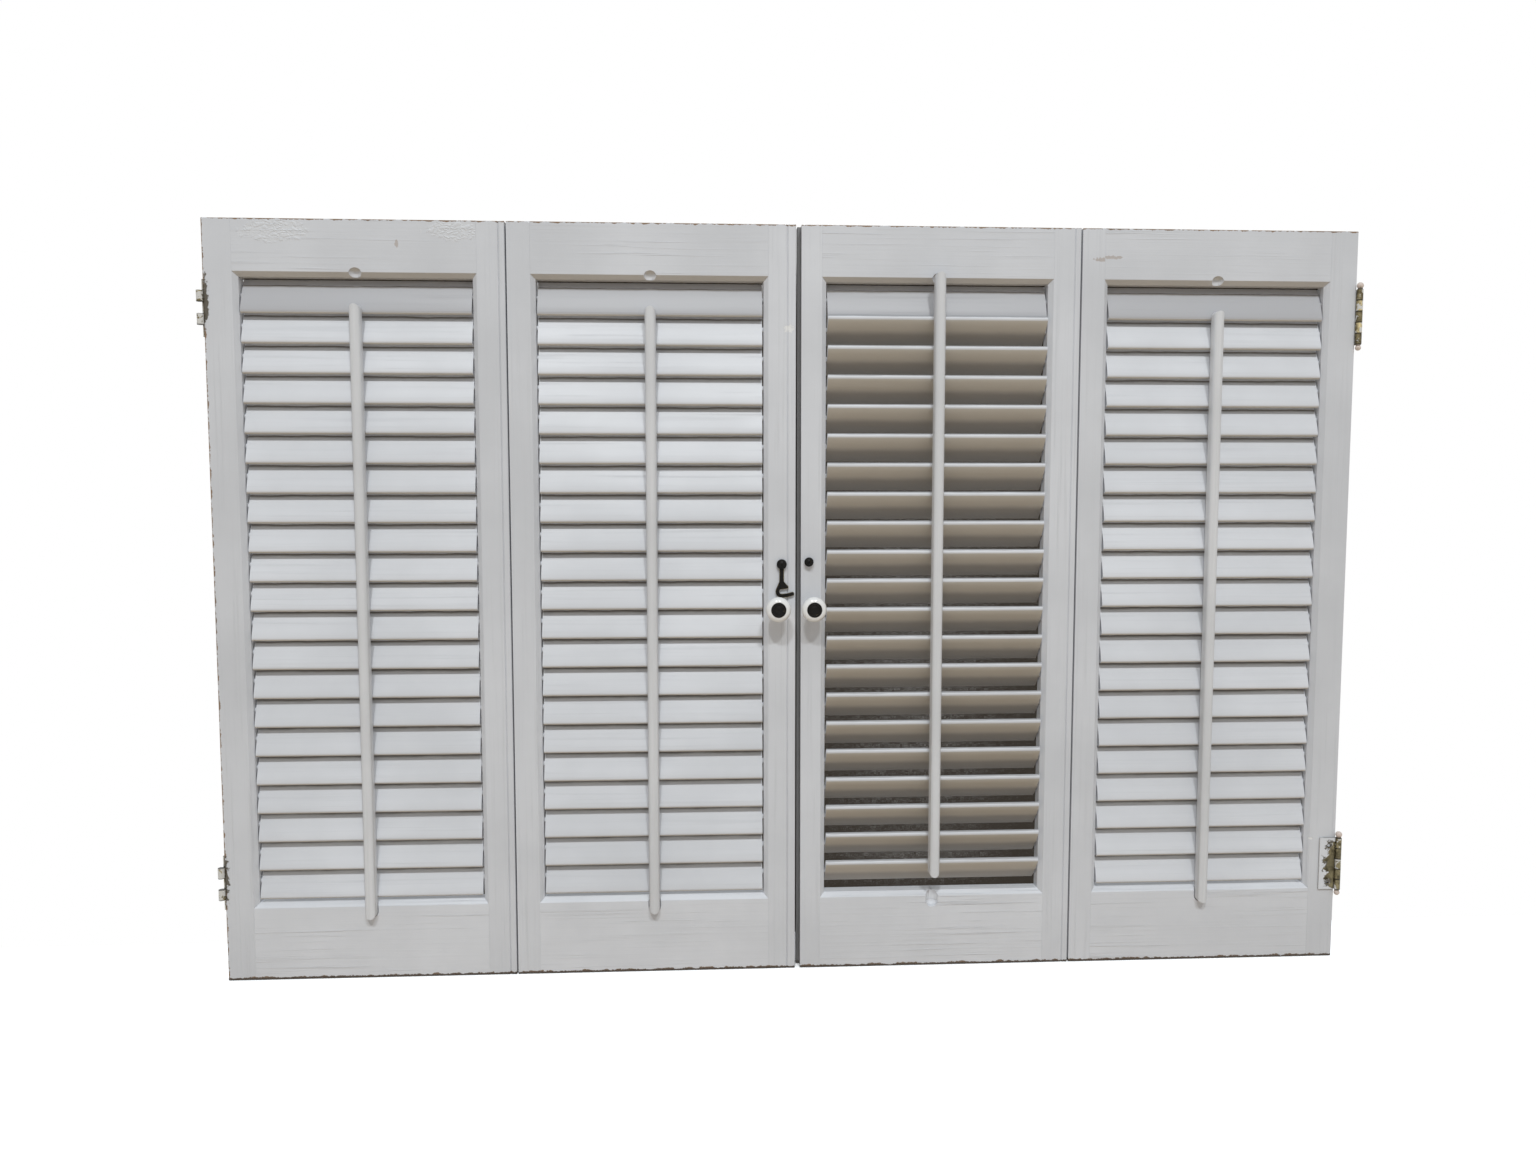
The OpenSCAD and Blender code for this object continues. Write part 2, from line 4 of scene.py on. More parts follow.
import bmesh
import bpy
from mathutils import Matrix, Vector

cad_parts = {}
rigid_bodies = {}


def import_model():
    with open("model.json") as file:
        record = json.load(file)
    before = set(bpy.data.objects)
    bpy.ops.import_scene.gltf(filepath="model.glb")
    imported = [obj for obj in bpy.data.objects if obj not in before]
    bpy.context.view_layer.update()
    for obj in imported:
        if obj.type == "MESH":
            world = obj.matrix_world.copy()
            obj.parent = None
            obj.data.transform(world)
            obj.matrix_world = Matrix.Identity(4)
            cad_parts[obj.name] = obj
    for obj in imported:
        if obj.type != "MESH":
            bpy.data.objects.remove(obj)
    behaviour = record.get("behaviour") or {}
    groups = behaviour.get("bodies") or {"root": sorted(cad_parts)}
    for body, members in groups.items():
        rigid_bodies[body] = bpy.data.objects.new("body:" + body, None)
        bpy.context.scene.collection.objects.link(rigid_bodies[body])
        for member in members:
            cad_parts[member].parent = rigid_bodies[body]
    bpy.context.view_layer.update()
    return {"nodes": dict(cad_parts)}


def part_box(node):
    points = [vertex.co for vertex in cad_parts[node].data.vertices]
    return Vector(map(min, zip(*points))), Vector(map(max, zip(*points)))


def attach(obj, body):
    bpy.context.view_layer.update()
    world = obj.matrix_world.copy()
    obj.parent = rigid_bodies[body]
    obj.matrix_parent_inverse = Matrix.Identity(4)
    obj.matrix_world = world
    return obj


for leftover in list(bpy.data.objects):
    bpy.data.objects.remove(leftover)

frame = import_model()
nodes = frame["nodes"]
print("frame loaded:", len(nodes), "nodes")

mm = 0.001


# camera, fitted to the panels' corners in the photograph
cameraSet = {
    "place": (-0.0794, -1.0127, 0.4354),
    "yaw": 3.15,
    "pitch": 4.47,
    "focalPixels": 1154,
    "imageWidth": 1536,
    "sensor": 36.0,
    "clipStart": 0.01,
}


def makeCamera():
    data = bpy.data.cameras.new("photoCamera")
    data.sensor_fit = "HORIZONTAL"
    data.sensor_width = cameraSet["sensor"]
    data.lens = cameraSet["focalPixels"] / cameraSet["imageWidth"] * cameraSet["sensor"]
    data.clip_start = cameraSet["clipStart"]
    camera = bpy.data.objects.new("photoCamera", data)
    camera.location = cameraSet["place"]
    camera.rotation_euler = (math.radians(90 - cameraSet["pitch"]), 0, math.radians(-cameraSet["yaw"]))
    bpy.context.collection.objects.link(camera)
    bpy.context.scene.camera = camera


# two ceiling lamps ahead of the shutters and a weaker one behind them
lampSet = {
    "lamps": [
        {"name": "lampLeft", "place": (-0.66, -3.31, 4.20), "power": 75.0, "tint": (0.955, 0.985, 1.0)},
        {"name": "lampRight", "place": (0.86, -3.44, 4.13), "power": 68.0, "tint": (0.945, 0.98, 1.0)},
        {"name": "lampBehind", "place": (0.35, 3.30, 3.60), "power": 42.0, "tint": (0.97, 0.99, 1.0)},
    ],
    "size": (0.40, 0.24),
    "aim": (0.0, 0.0, 0.33),
}


def makeLamps():
    for lamp in lampSet["lamps"]:
        data = bpy.data.lights.new(lamp["name"], "AREA")
        data.shape = "RECTANGLE"
        data.size, data.size_y = lampSet["size"]
        data.energy = lamp["power"]
        data.color = lamp["tint"]
        light = bpy.data.objects.new(lamp["name"], data)
        light.location = lamp["place"]
        aim = Vector(lampSet["aim"]) - Vector(lamp["place"])
        light.rotation_euler = aim.to_track_quat("-Z", "Y").to_euler()
        bpy.context.collection.objects.link(light)


# node helpers
def add(tree, kind, place, values=None, **options):
    node = tree.nodes.new(kind)
    node.location = place
    for name, value in options.items():
        setattr(node, name, value)
    for name, value in (values or {}).items():
        node.inputs[name].default_value = value
    return node


def connect(tree, value, socket):
    if isinstance(value, (int, float)):
        socket.default_value = value
    elif isinstance(value, tuple):
        socket.default_value = (*value, 1) if len(socket.default_value) == 4 else value
    else:
        tree.links.new(value, socket)


def mathNode(tree, operation, first, second, place):
    node = add(tree, "ShaderNodeMath", place, operation=operation)
    connect(tree, first, node.inputs[0])
    connect(tree, second, node.inputs[1])
    return node.outputs[0]


def vectorNode(tree, operation, first, second, place):
    node = add(tree, "ShaderNodeVectorMath", place, operation=operation)
    connect(tree, first, node.inputs[0])
    connect(tree, second, node.inputs[1])
    return node.outputs["Value"] if operation in ("LENGTH", "DOT_PRODUCT") else node.outputs[0]


def split(tree, vector, place):
    node = add(tree, "ShaderNodeSeparateXYZ", place)
    tree.links.new(vector, node.inputs[0])
    return node.outputs


def ramp(tree, value, low, high, place, toLow=0.0, toHigh=1.0):
    node = add(tree, "ShaderNodeMapRange", place, interpolation_type="SMOOTHSTEP")
    connect(tree, value, node.inputs["Value"])
    connect(tree, low, node.inputs["From Min"])
    connect(tree, high, node.inputs["From Max"])
    connect(tree, toLow, node.inputs["To Min"])
    connect(tree, toHigh, node.inputs["To Max"])
    return node.outputs["Result"]


def noise(tree, coord, scale, place, detail=4.0, roughness=0.55):
    node = add(tree, "ShaderNodeTexNoise", place, {"Detail": detail, "Roughness": roughness})
    tree.links.new(coord, node.inputs["Vector"])
    connect(tree, scale, node.inputs["Scale"])
    return node.outputs["Fac"]


def blendColour(tree, mask, under, over, place):
    node = add(tree, "ShaderNodeMix", place, data_type="RGBA")
    connect(tree, mask, node.inputs["Factor"])
    connect(tree, under, node.inputs["A"])
    connect(tree, over, node.inputs["B"])
    return node.outputs["Result"]


def mixShaders(tree, share, under, over, place):
    node = add(tree, "ShaderNodeMixShader", place)
    tree.links.new(share, node.inputs["Fac"])
    tree.links.new(under.outputs[0], node.inputs[1])
    tree.links.new(over.outputs[0], node.inputs[2])
    return node


def scaled(colour, share):
    return tuple(c * share for c in colour)


def newGroup(name, inputs, outputs):
    tree = bpy.data.node_groups.new(name, "ShaderNodeTree")
    for label, kind, value in inputs:
        socket = tree.interface.new_socket(label, in_out="INPUT", socket_type="NodeSocket" + kind)
        if value is not None:
            socket.default_value = value
    for label in outputs:
        tree.interface.new_socket(label, in_out="OUTPUT", socket_type="NodeSocketFloat")
    start = add(tree, "NodeGroupInput", (-900, 0))
    end = add(tree, "NodeGroupOutput", (900, 0))
    return tree, start.outputs, end.inputs


# soft pale room: the floor and a backdrop close behind look white, with painted shade on the backdrop
# where closed shutters cover it, and only the floor gives light back, in a warm tone
roomSet = {
    "sky": (0.88, 0.94, 1.0),
    "skyStrength": 0.40,
    "floorSeen": 1.70,
    "floorFade": (0.9, 2.0),
    "shade": (0.040, 0.034, 0.028),
    "closedHalf": 515 * mm,
    "closedTop": 655 * mm,
    "closedSoft": 20 * mm,
    "closedReach": 250 * mm,
    "closedSamples": 16,
    "closedFrom": 0.26,
    "openFrom": 0.45,
    "bounce": (0.62, 0.50, 0.375),
    "floorDrop": 0.5 * mm,
    "wallBehind": 85 * mm,
    "half": 6.0,
}


# seen by the camera, in a reflection or through glass: 1, else 0
def seenDirectly(tree, place):
    path = add(tree, "ShaderNodeLightPath", place).outputs
    x, y = place
    first = mathNode(tree, "MAXIMUM", path["Is Camera Ray"], path["Is Glossy Ray"], (x + 180, y))
    return mathNode(tree, "MAXIMUM", first, path["Is Transmission Ray"], (x + 360, y))


def stageMaterial(name):
    material = bpy.data.materials.new(name)
    material.use_nodes = True
    material.cycles.emission_sampling = "NONE"
    material.node_tree.nodes.clear()
    return material, material.node_tree


# lit near the shutters, where it keeps their shadow, and plain white further off
def floorMaterial():
    material, tree = stageMaterial("paleFloor")
    out = add(tree, "ShaderNodeOutputMaterial", (600, 0))
    given = add(tree, "ShaderNodeBsdfDiffuse", (0, -120), {"Color": (*roomSet["bounce"], 1)})
    shown = add(tree, "ShaderNodeBsdfDiffuse", (0, 80), {"Color": (*(3 * [roomSet["floorSeen"]]), 1)})
    white = add(tree, "ShaderNodeEmission", (0, 240))
    place = add(tree, "ShaderNodeTexCoord", (-900, 500))
    away = vectorNode(tree, "LENGTH", place.outputs["Object"], (0, 0, 0), (-700, 500))
    fade = ramp(tree, away, *roomSet["floorFade"], (-400, 500))
    far = mixShaders(tree, fade, shown, white, (240, 160))
    both = mixShaders(tree, seenDirectly(tree, (-600, 200)), given, far, (420, 0))
    tree.links.new(both.outputs[0], out.inputs["Surface"])
    return material


# white backdrop with painted shade, from ambient occlusion, where closed shutters cover it, and clear from
# behind
def wallMaterial():
    material, tree = stageMaterial("paleWall")
    out = add(tree, "ShaderNodeOutputMaterial", (900, 0))
    given = add(tree, "ShaderNodeTexCoord", (-1300, 0))
    parts = split(tree, given.outputs["Object"], (-1100, 0))
    half = roomSet["closedHalf"]
    top = roomSet["closedTop"]
    soft = roomSet["closedSoft"]
    wide = mathNode(tree, "ABSOLUTE", parts["X"], 0.0, (-900, 60))
    near = ramp(tree, wide, half, half - soft, (-720, 60))
    below = ramp(tree, parts["Z"], top, top - soft, (-720, -120))
    behind = mathNode(tree, "MULTIPLY", near, below, (-540, 0))
    cover = add(tree, "ShaderNodeAmbientOcclusion", (-900, -320),
                {"Distance": roomSet["closedReach"]}, samples=roomSet["closedSamples"])
    closed = ramp(tree, cover.outputs["AO"], roomSet["openFrom"], roomSet["closedFrom"], (-720, -320))
    paintedShadeShare = mathNode(tree, "MULTIPLY", behind, closed, (-360, -120))
    white = add(tree, "ShaderNodeEmission", (200, 0))
    tone = blendColour(tree, paintedShadeShare, (1.0, 1.0, 1.0), roomSet["shade"], (-100, 0))
    tree.links.new(tone, white.inputs["Color"])
    side = add(tree, "ShaderNodeNewGeometry", (200, 240))
    clear = add(tree, "ShaderNodeBsdfTransparent", (200, -160))
    oneWay = mixShaders(tree, side.outputs["Backfacing"], white, clear, (600, 0))
    tree.links.new(oneWay.outputs[0], out.inputs["Surface"])
    return material


def makeSheet(name, corners, material):
    mesh = bpy.data.meshes.new(name)
    mesh.from_pydata(corners, [], [(0, 1, 2, 3)])
    sheet = bpy.data.objects.new(name, mesh)
    bpy.context.collection.objects.link(sheet)
    mesh.materials.append(material)
    return sheet


def makeRoom():
    world = bpy.data.worlds.new("paleRoom")
    bpy.context.scene.world = world
    world.use_nodes = True
    tree = world.node_tree
    tree.nodes.clear()
    sky = add(tree, "ShaderNodeBackground", (0, 100),
              {"Color": (*roomSet["sky"], 1), "Strength": roomSet["skyStrength"]})
    white = add(tree, "ShaderNodeBackground", (0, -100), {"Color": (1, 1, 1, 1)})
    out = add(tree, "ShaderNodeOutputWorld", (600, 0))
    mix = mixShaders(tree, seenDirectly(tree, (-600, 200)), sky, white, (300, 0))
    tree.links.new(mix.outputs[0], out.inputs["Surface"])
    half = roomSet["half"]
    low = -roomSet["floorDrop"]
    back = roomSet["wallBehind"]
    floorCorners = [(-half, -half, low), (half, -half, low), (half, half, low), (-half, half, low)]
    wallCorners = [(-half, back, low), (half, back, low), (half, back, half), (-half, back, half)]
    makeSheet("paleFloor", floorCorners, floorMaterial())
    wall = makeSheet("paleWall", wallCorners, wallMaterial())
    wall.visible_diffuse = False
    wall.visible_shadow = False
    print("room and lamps made")


# brush marks and raised grain, drawn out along the piece
grainSet = {
    "patch": 7.0,
    "streakNoise": (5.0, 0.62),
    "ridge": (0.56, 0.70),
    "ridgePatch": (0.42, 0.62),
    "patchLeast": 0.25,
    "fine": 0.6,
    "streak": (0.48, 0.72),
    "cloud": (0.28, 0.72),
}


def makeBrushGrain():
    tree, given, out = newGroup(
        "brushGrain",
        [("Coord", "Vector", None), ("Stretch", "Vector", None), ("Patch", "Float", grainSet["patch"])],
        ["Height", "Streak", "Cloud"])
    pulled = vectorNode(tree, "MULTIPLY", given["Coord"], given["Stretch"], (-680, 120))
    streak = noise(tree, pulled, 1.0, (-460, 200), *grainSet["streakNoise"])
    cloud = noise(tree, given["Coord"], given["Patch"], (-460, -120))
    ridge = ramp(tree, streak, *grainSet["ridge"], (-220, 300))
    patch = ramp(tree, cloud, *grainSet["ridgePatch"], (-220, 60), grainSet["patchLeast"], 1.0)
    high = mathNode(tree, "MULTIPLY", ridge, patch, (20, 240))
    fine = mathNode(tree, "MULTIPLY", streak, grainSet["fine"], (20, 80))
    tree.links.new(mathNode(tree, "ADD", high, fine, (240, 200)), out["Height"])
    tree.links.new(ramp(tree, streak, *grainSet["streak"], (20, -60)), out["Streak"])
    tree.links.new(ramp(tree, cloud, *grainSet["cloud"], (20, -220)), out["Cloud"])
    return tree


# paint gone along the outer edges of a panel, between two corners
rimSet = {
    "reach": 2.2 * mm,
    "tornScale": 120.0,
    "tornNoise": (6.0, 0.7),
    "bite": (0.36, 0.68),
    "softShare": 0.7,
    "far": 9.0,
    # the foot band is always bare, to carry the painted shade along the foot
    "footShade": 1.2 * mm,
}


def makeRimWear():
    tree, given, out = newGroup(
        "rimWear",
        [("Coord", "Vector", None), ("Low", "Vector", None), ("High", "Vector", None),
         ("Reach", "Float", rimSet["reach"])],
        ["Mask"])
    fromLow = vectorNode(tree, "SUBTRACT", given["Coord"], given["Low"], (-680, 200))
    fromHigh = vectorNode(tree, "SUBTRACT", given["High"], given["Coord"], (-680, 0))
    near = vectorNode(tree, "MINIMUM", fromLow, fromHigh, (-460, 100))
    parts = split(tree, near, (-260, 100))
    nearest = mathNode(tree, "MINIMUM", parts["X"], parts["Z"], (-60, 100))
    torn = noise(tree, given["Coord"], rimSet["tornScale"], (-460, -200), *rimSet["tornNoise"])
    bite = ramp(tree, torn, *rimSet["bite"], (-240, -200))
    edge = mathNode(tree, "MULTIPLY", bite, given["Reach"], (-20, -120))
    inner = mathNode(tree, "MULTIPLY", edge, rimSet["softShare"], (180, -200))
    tree.links.new(ramp(tree, nearest, edge, inner, (400, 40)), out["Mask"])
    return tree


# painted shade in the sheltered part of each louvre and in the recess under each nose, counted from the
# nose of the one it lies behind
slatSet = {
    "pitch": 25.5 * mm,
    "start": {"shut": 581.5 * mm, "raised": 608.7 * mm},
    "turn": {"shut": 1.0, "raised": -1.0},
    "upper": {"shut": 0.15, "raised": 0.35},
    "recess": {"shut": 0.85, "raised": 0.35},
    "topFrom": 583 * mm,
    "waverScale": 35.0,
    "waver": 2.0 * mm,
    "upperFrom": (0.40, 0.62),
    "recessFrom": (0.89, 0.98),
}


def makeSlatShade():
    tree, given, out = newGroup(
        "slatShade",
        [("Coord", "Vector", None), ("Start", "Float", None), ("Turn", "Float", None)],
        ["Upper", "RecessShade"])
    parts = split(tree, given["Coord"], (-700, 0))
    rough = noise(tree, given["Coord"], slatSet["waverScale"], (-700, -220))
    waver = mathNode(tree, "MULTIPLY", rough, slatSet["waver"], (-500, -220))
    level = mathNode(tree, "ADD", parts["Z"], waver, (-500, 0))
    above = mathNode(tree, "SUBTRACT", level, given["Start"], (-320, 0))
    count = mathNode(tree, "DIVIDE", above, slatSet["pitch"], (-160, 0))
    steps = mathNode(tree, "MULTIPLY", count, given["Turn"], (0, 0))
    phase = mathNode(tree, "FRACT", steps, 0.0, (160, 0))
    tree.links.new(ramp(tree, phase, *slatSet["upperFrom"], (340, 100)), out["Upper"])
    tree.links.new(ramp(tree, phase, *slatSet["recessFrom"], (340, -120)), out["RecessShade"])
    return tree


# one mark at a place: chip, scuff or crackle, with a broken outline
localSet = {"noise": (5.0, 0.65), "middle": 0.5, "outline": (1.0, 0.82)}


def makeLocalMark():
    tree, given, out = newGroup(
        "localMark",
        [("Coord", "Vector", None), ("Centre", "Vector", None), ("Size", "Vector", None),
         ("Scale", "Float", None), ("Broken", "Float", None)],
        ["Mask"])
    away = vectorNode(tree, "SUBTRACT", given["Coord"], given["Centre"], (-680, 120))
    share = vectorNode(tree, "DIVIDE", away, given["Size"], (-480, 120))
    far = vectorNode(tree, "LENGTH", share, (0, 0, 0), (-280, 120))
    rough = noise(tree, given["Coord"], given["Scale"], (-480, -120), *localSet["noise"])
    level = mathNode(tree, "SUBTRACT", rough, localSet["middle"], (-260, -120))
    push = mathNode(tree, "MULTIPLY", level, given["Broken"], (-60, -120))
    total = mathNode(tree, "ADD", far, push, (140, 60))
    tree.links.new(ramp(tree, total, *localSet["outline"], (360, 60)), out["Mask"])
    return tree


# scattered nicks and specks
flakeSet = {"scale": 55.0, "noise": (2.0, 0.5), "wobbleScale": 260.0, "wobbleDetail": 3.0, "wobble": 0.14,
            "level": 0.94, "soft": 0.012}


def makePaintFlake():
    tree, given, out = newGroup(
        "paintFlake",
        [("Coord", "Vector", None), ("Scale", "Float", flakeSet["scale"]), ("Spread", "Float", None)],
        ["Mask"])
    wobble = noise(tree, given["Coord"], flakeSet["wobbleScale"], (-680, -160), flakeSet["wobbleDetail"])
    where = noise(tree, given["Coord"], given["Scale"], (-680, 200), *flakeSet["noise"])
    rough = mathNode(tree, "MULTIPLY", wobble, flakeSet["wobble"], (-440, -160))
    total = mathNode(tree, "ADD", where, rough, (-220, 60))
    edge = mathNode(tree, "SUBTRACT", flakeSet["level"], given["Spread"], (-220, -200))
    past = mathNode(tree, "ADD", edge, flakeSet["soft"], (-20, -200))
    tree.links.new(ramp(tree, total, edge, past, (200, 60)), out["Mask"])
    return tree


# rubbed edges of small hardware: where a rounded normal leaves the flat one
rubSet = {"radius": 0.7 * mm, "scale": 220.0, "samples": 4, "noise": (6.0, 0.65), "turned": (1.0, 0.86),
          "level": 0.62, "soft": 0.10}


def makeEdgeRub():
    tree, given, out = newGroup(
        "edgeRub",
        [("Coord", "Vector", None), ("Radius", "Float", rubSet["radius"]),
         ("Scale", "Float", rubSet["scale"]), ("Amount", "Float", None)],
        ["Mask"])
    rounded = add(tree, "ShaderNodeBevel", (-680, 160), samples=rubSet["samples"])
    tree.links.new(given["Radius"], rounded.inputs["Radius"])
    flat = add(tree, "ShaderNodeNewGeometry", (-680, -60))
    dot = vectorNode(tree, "DOT_PRODUCT", rounded.outputs[0], flat.outputs["Normal"], (-460, 100))
    edge = ramp(tree, dot, *rubSet["turned"], (-240, 120))
    torn = noise(tree, given["Coord"], given["Scale"], (-460, -200), *rubSet["noise"])
    broken = mathNode(tree, "MULTIPLY", edge, torn, (0, 60))
    left = mathNode(tree, "SUBTRACT", 1.0, given["Amount"], (-240, -320))
    low = mathNode(tree, "MULTIPLY", left, rubSet["level"], (0, -200))
    high = mathNode(tree, "ADD", low, rubSet["soft"], (180, -260))
    tree.links.new(ramp(tree, broken, low, high, (380, 60)), out["Mask"])
    return tree


# grime that gathers where small pieces meet
grimeSet = {
    "samples": 4,
    "sheltered": (0.85, 0.25),
    "patchScale": 45.0,
    "patch": (0.30, 0.72),
    "patchLeast": 0.25,
}


def makeCornerGrime():
    tree, given, out = newGroup(
        "cornerGrime",
        [("Coord", "Vector", None), ("Reach", "Float", None), ("Amount", "Float", None)],
        ["Mask"])
    shade = add(tree, "ShaderNodeAmbientOcclusion", (-680, 160), samples=grimeSet["samples"])
    tree.links.new(given["Reach"], shade.inputs["Distance"])
    deep = ramp(tree, shade.outputs["AO"], *grimeSet["sheltered"], (-440, 160))
    cloud = noise(tree, given["Coord"], grimeSet["patchScale"], (-680, -160))
    patch = ramp(tree, cloud, *grimeSet["patch"], (-440, -160), grimeSet["patchLeast"], 1.0)
    mask = mathNode(tree, "MULTIPLY", deep, patch, (-200, 60))
    tree.links.new(mathNode(tree, "MULTIPLY", mask, given["Amount"], (0, 60)), out["Mask"])
    return tree


# painted shade in the joints between the knuckles, counted up from each hinge's lower end
knuckleSet = {
    "axis": (502.5 * mm, -2.4 * mm),
    "radius": 3.2 * mm,
    "lower": 64 * mm,
    "upper": 561 * mm,
    "between": 300 * mm,
    "pitch": 9.66 * mm,
    "line": (0.8 * mm, 0.35 * mm),
}


def makeKnuckleJoints():
    tree, given, out = newGroup("knuckleJoints", [("Coord", "Vector", None)], ["Mask"])
    parts = split(tree, given["Coord"], (-700, 0))
    rise = knuckleSet["upper"] - knuckleSet["lower"]
    which = mathNode(tree, "GREATER_THAN", parts["Z"], knuckleSet["between"], (-500, -200))
    start = mathNode(tree, "MULTIPLY", which, rise, (-340, -200))
    level = mathNode(tree, "SUBTRACT", parts["Z"], knuckleSet["lower"], (-340, 0))
    above = mathNode(tree, "SUBTRACT", level, start, (-160, 0))
    away = mathNode(tree, "PINGPONG", above, knuckleSet["pitch"] / 2, (0, 0))
    line = ramp(tree, away, *knuckleSet["line"], (180, 0))
    side = mathNode(tree, "ABSOLUTE", parts["X"], 0.0, (-500, 320))
    outX = mathNode(tree, "SUBTRACT", side, knuckleSet["axis"][0], (-340, 320))
    outY = mathNode(tree, "SUBTRACT", parts["Y"], knuckleSet["axis"][1], (-340, 180))
    farX = mathNode(tree, "ABSOLUTE", outX, 0.0, (-160, 320))
    farY = mathNode(tree, "ABSOLUTE", outY, 0.0, (-160, 180))
    wide = mathNode(tree, "MAXIMUM", farX, farY, (0, 260))
    barrel = mathNode(tree, "LESS_THAN", wide, knuckleSet["radius"], (180, 260))
    tree.links.new(mathNode(tree, "MULTIPLY", line, barrel, (380, 120)), out["Mask"])
    return tree


groups = {}


def makeGroups():
    groups["grain"] = makeBrushGrain()
    groups["rim"] = makeRimWear()
    groups["slat"] = makeSlatShade()
    groups["mark"] = makeLocalMark()
    groups["flake"] = makePaintFlake()
    groups["knuckles"] = makeKnuckleJoints()
    groups["rub"] = makeEdgeRub()
    groups["grime"] = makeCornerGrime()
    print("shader groups made")


def useGroup(tree, name, place, coord, values=None):
    node = add(tree, "ShaderNodeGroup", place, values, node_tree=groups[name])
    tree.links.new(coord, node.inputs["Coord"])
    return node.outputs


def startMaterial(name, shift=(0, 0, 0)):
    material = bpy.data.materials.new(name)
    material.use_nodes = True
    tree = material.node_tree
    given = add(tree, "ShaderNodeTexCoord", (-1700, 0))
    moved = vectorNode(tree, "ADD", given.outputs["Object"], shift, (-1500, -120))
    return material, tree, tree.nodes["Principled BSDF"], given.outputs, moved


def bumpInto(tree, shader, height, strength, distance, place):
    bump = add(tree, "ShaderNodeBump", place, {"Strength": strength, "Distance": distance})
    tree.links.new(height, bump.inputs["Height"])
    tree.links.new(bump.outputs[0], shader.inputs["Normal"])


# old white paint on wood; stretch follows the grain
paintSet = {
    "colour": (0.685, 0.699, 0.730),
    "cloud": 0.07,
    "streak": 0.10,
    "streakShare": 0.5,
    "undercoat": (0.50, 0.46, 0.40),
    # dust and painted shade on downward faces, warm and darker
    "dustAndShade": (0.50, 0.45, 0.365),
    "underside": (-0.35, -0.6),
    # painted shade on the louvres: the recess under each nose, the sheltered part, the top louvre and the
    # deep part of raised undersides
    "recess": (0.10, 0.080, 0.060),
    "sheltered": 0.80,
    "topShade": (0.445, 0.447, 0.465),
    "deep": (0.31, 0.28, 0.245),
    "roughness": (0.42, 0.58),
    "specular": 0.40,
    "bump": 0.6,
    "grainDepth": 0.30 * mm,
    "upright": (330, 330, 6),
    "level": (6, 330, 330),
}

# bare timber where the rim has lost its paint, near-black along the foot as painted shade where it meets
# the floor, and the paint left on upward faces
timberSet = {
    "wood": (0.25, 0.165, 0.105),
    "grainShare": 0.5,
    "footShade": (0.060, 0.042, 0.028),
    "footRise": 1.5 * mm,
    "upward": (0.4, 0.7),
    "patchScale": 70.0,
    "patch": (0.47, 0.55),
    "patchCover": 0.85,
}

# wrinkled paint: cells drawn out sideways and bent
crackleSet = {
    "scale": 330.0,
    "drawn": (0.45, 1.0, 1.0),
    "driftScale": 150.0,
    "driftDetail": 4.0,
    "drift": (9 * mm, 0.0, 9 * mm),
    "slope": 0.30,
    "lift": 1.1,
}

# what a mark lays over the paint, how strongly, and how it stands
markSet = {
    "chip": {"colour": (0.085, 0.070, 0.045), "strength": 0.95, "height": -1.2},
    "scuff": {"colour": (0.36, 0.28, 0.22), "strength": 0.55, "height": 0.0},
    "nick": {"colour": (0.86, 0.86, 0.85), "strength": 0.9, "height": -1.0},
    # painted shade down the meeting gap between two panels
    "gap": {"colour": (0.17, 0.165, 0.16), "strength": 0.85, "height": 0.0},
    "crackle": {"colour": (0.74, 0.75, 0.76), "strength": 0.25},
}


def mark(kind, centre, size, scale=200.0, broken=1.5):
    return {"kind": kind, "shape": {"Centre": centre, "Size": size, "Scale": scale, "Broken": broken}}


# painted shade on a louvre: its sheltered part darker, the deep part of a raised underside darker, the top
# louvre of a shut bank darker as under the top rail's shadow, and a near-black recess under each nose
def shadeSlat(tree, coord, slat, base, under, tone):
    shade = useGroup(tree, "slat", (-1200, 1020), coord,
                     {"Start": slatSet["start"][slat], "Turn": slatSet["turn"][slat]})
    soft = mathNode(tree, "MULTIPLY", shade["Upper"], slatSet["upper"][slat], (-950, 1020))
    tone = blendColour(tree, soft, tone, scaled(base, paintSet["sheltered"]), (-420, 760))
    if slat == "raised":
        inside = mathNode(tree, "MULTIPLY", under, shade["Upper"], (-800, 900))
        tone = blendColour(tree, inside, tone, paintSet["deep"], (-560, 900))
    if slat == "shut":
        top = slatSet["topFrom"]
        upper = ramp(tree, split(tree, coord, (-1200, 620))["Z"], top - mm, top + mm, (-1000, 620))
        tone = blendColour(tree, upper, tone, paintSet["topShade"], (-560, 520))
    deepest = mathNode(tree, "MULTIPLY", shade["RecessShade"], slatSet["recess"][slat], (-950, 1180))
    return blendColour(tree, deepest, tone, paintSet["recess"], (-260, 760))


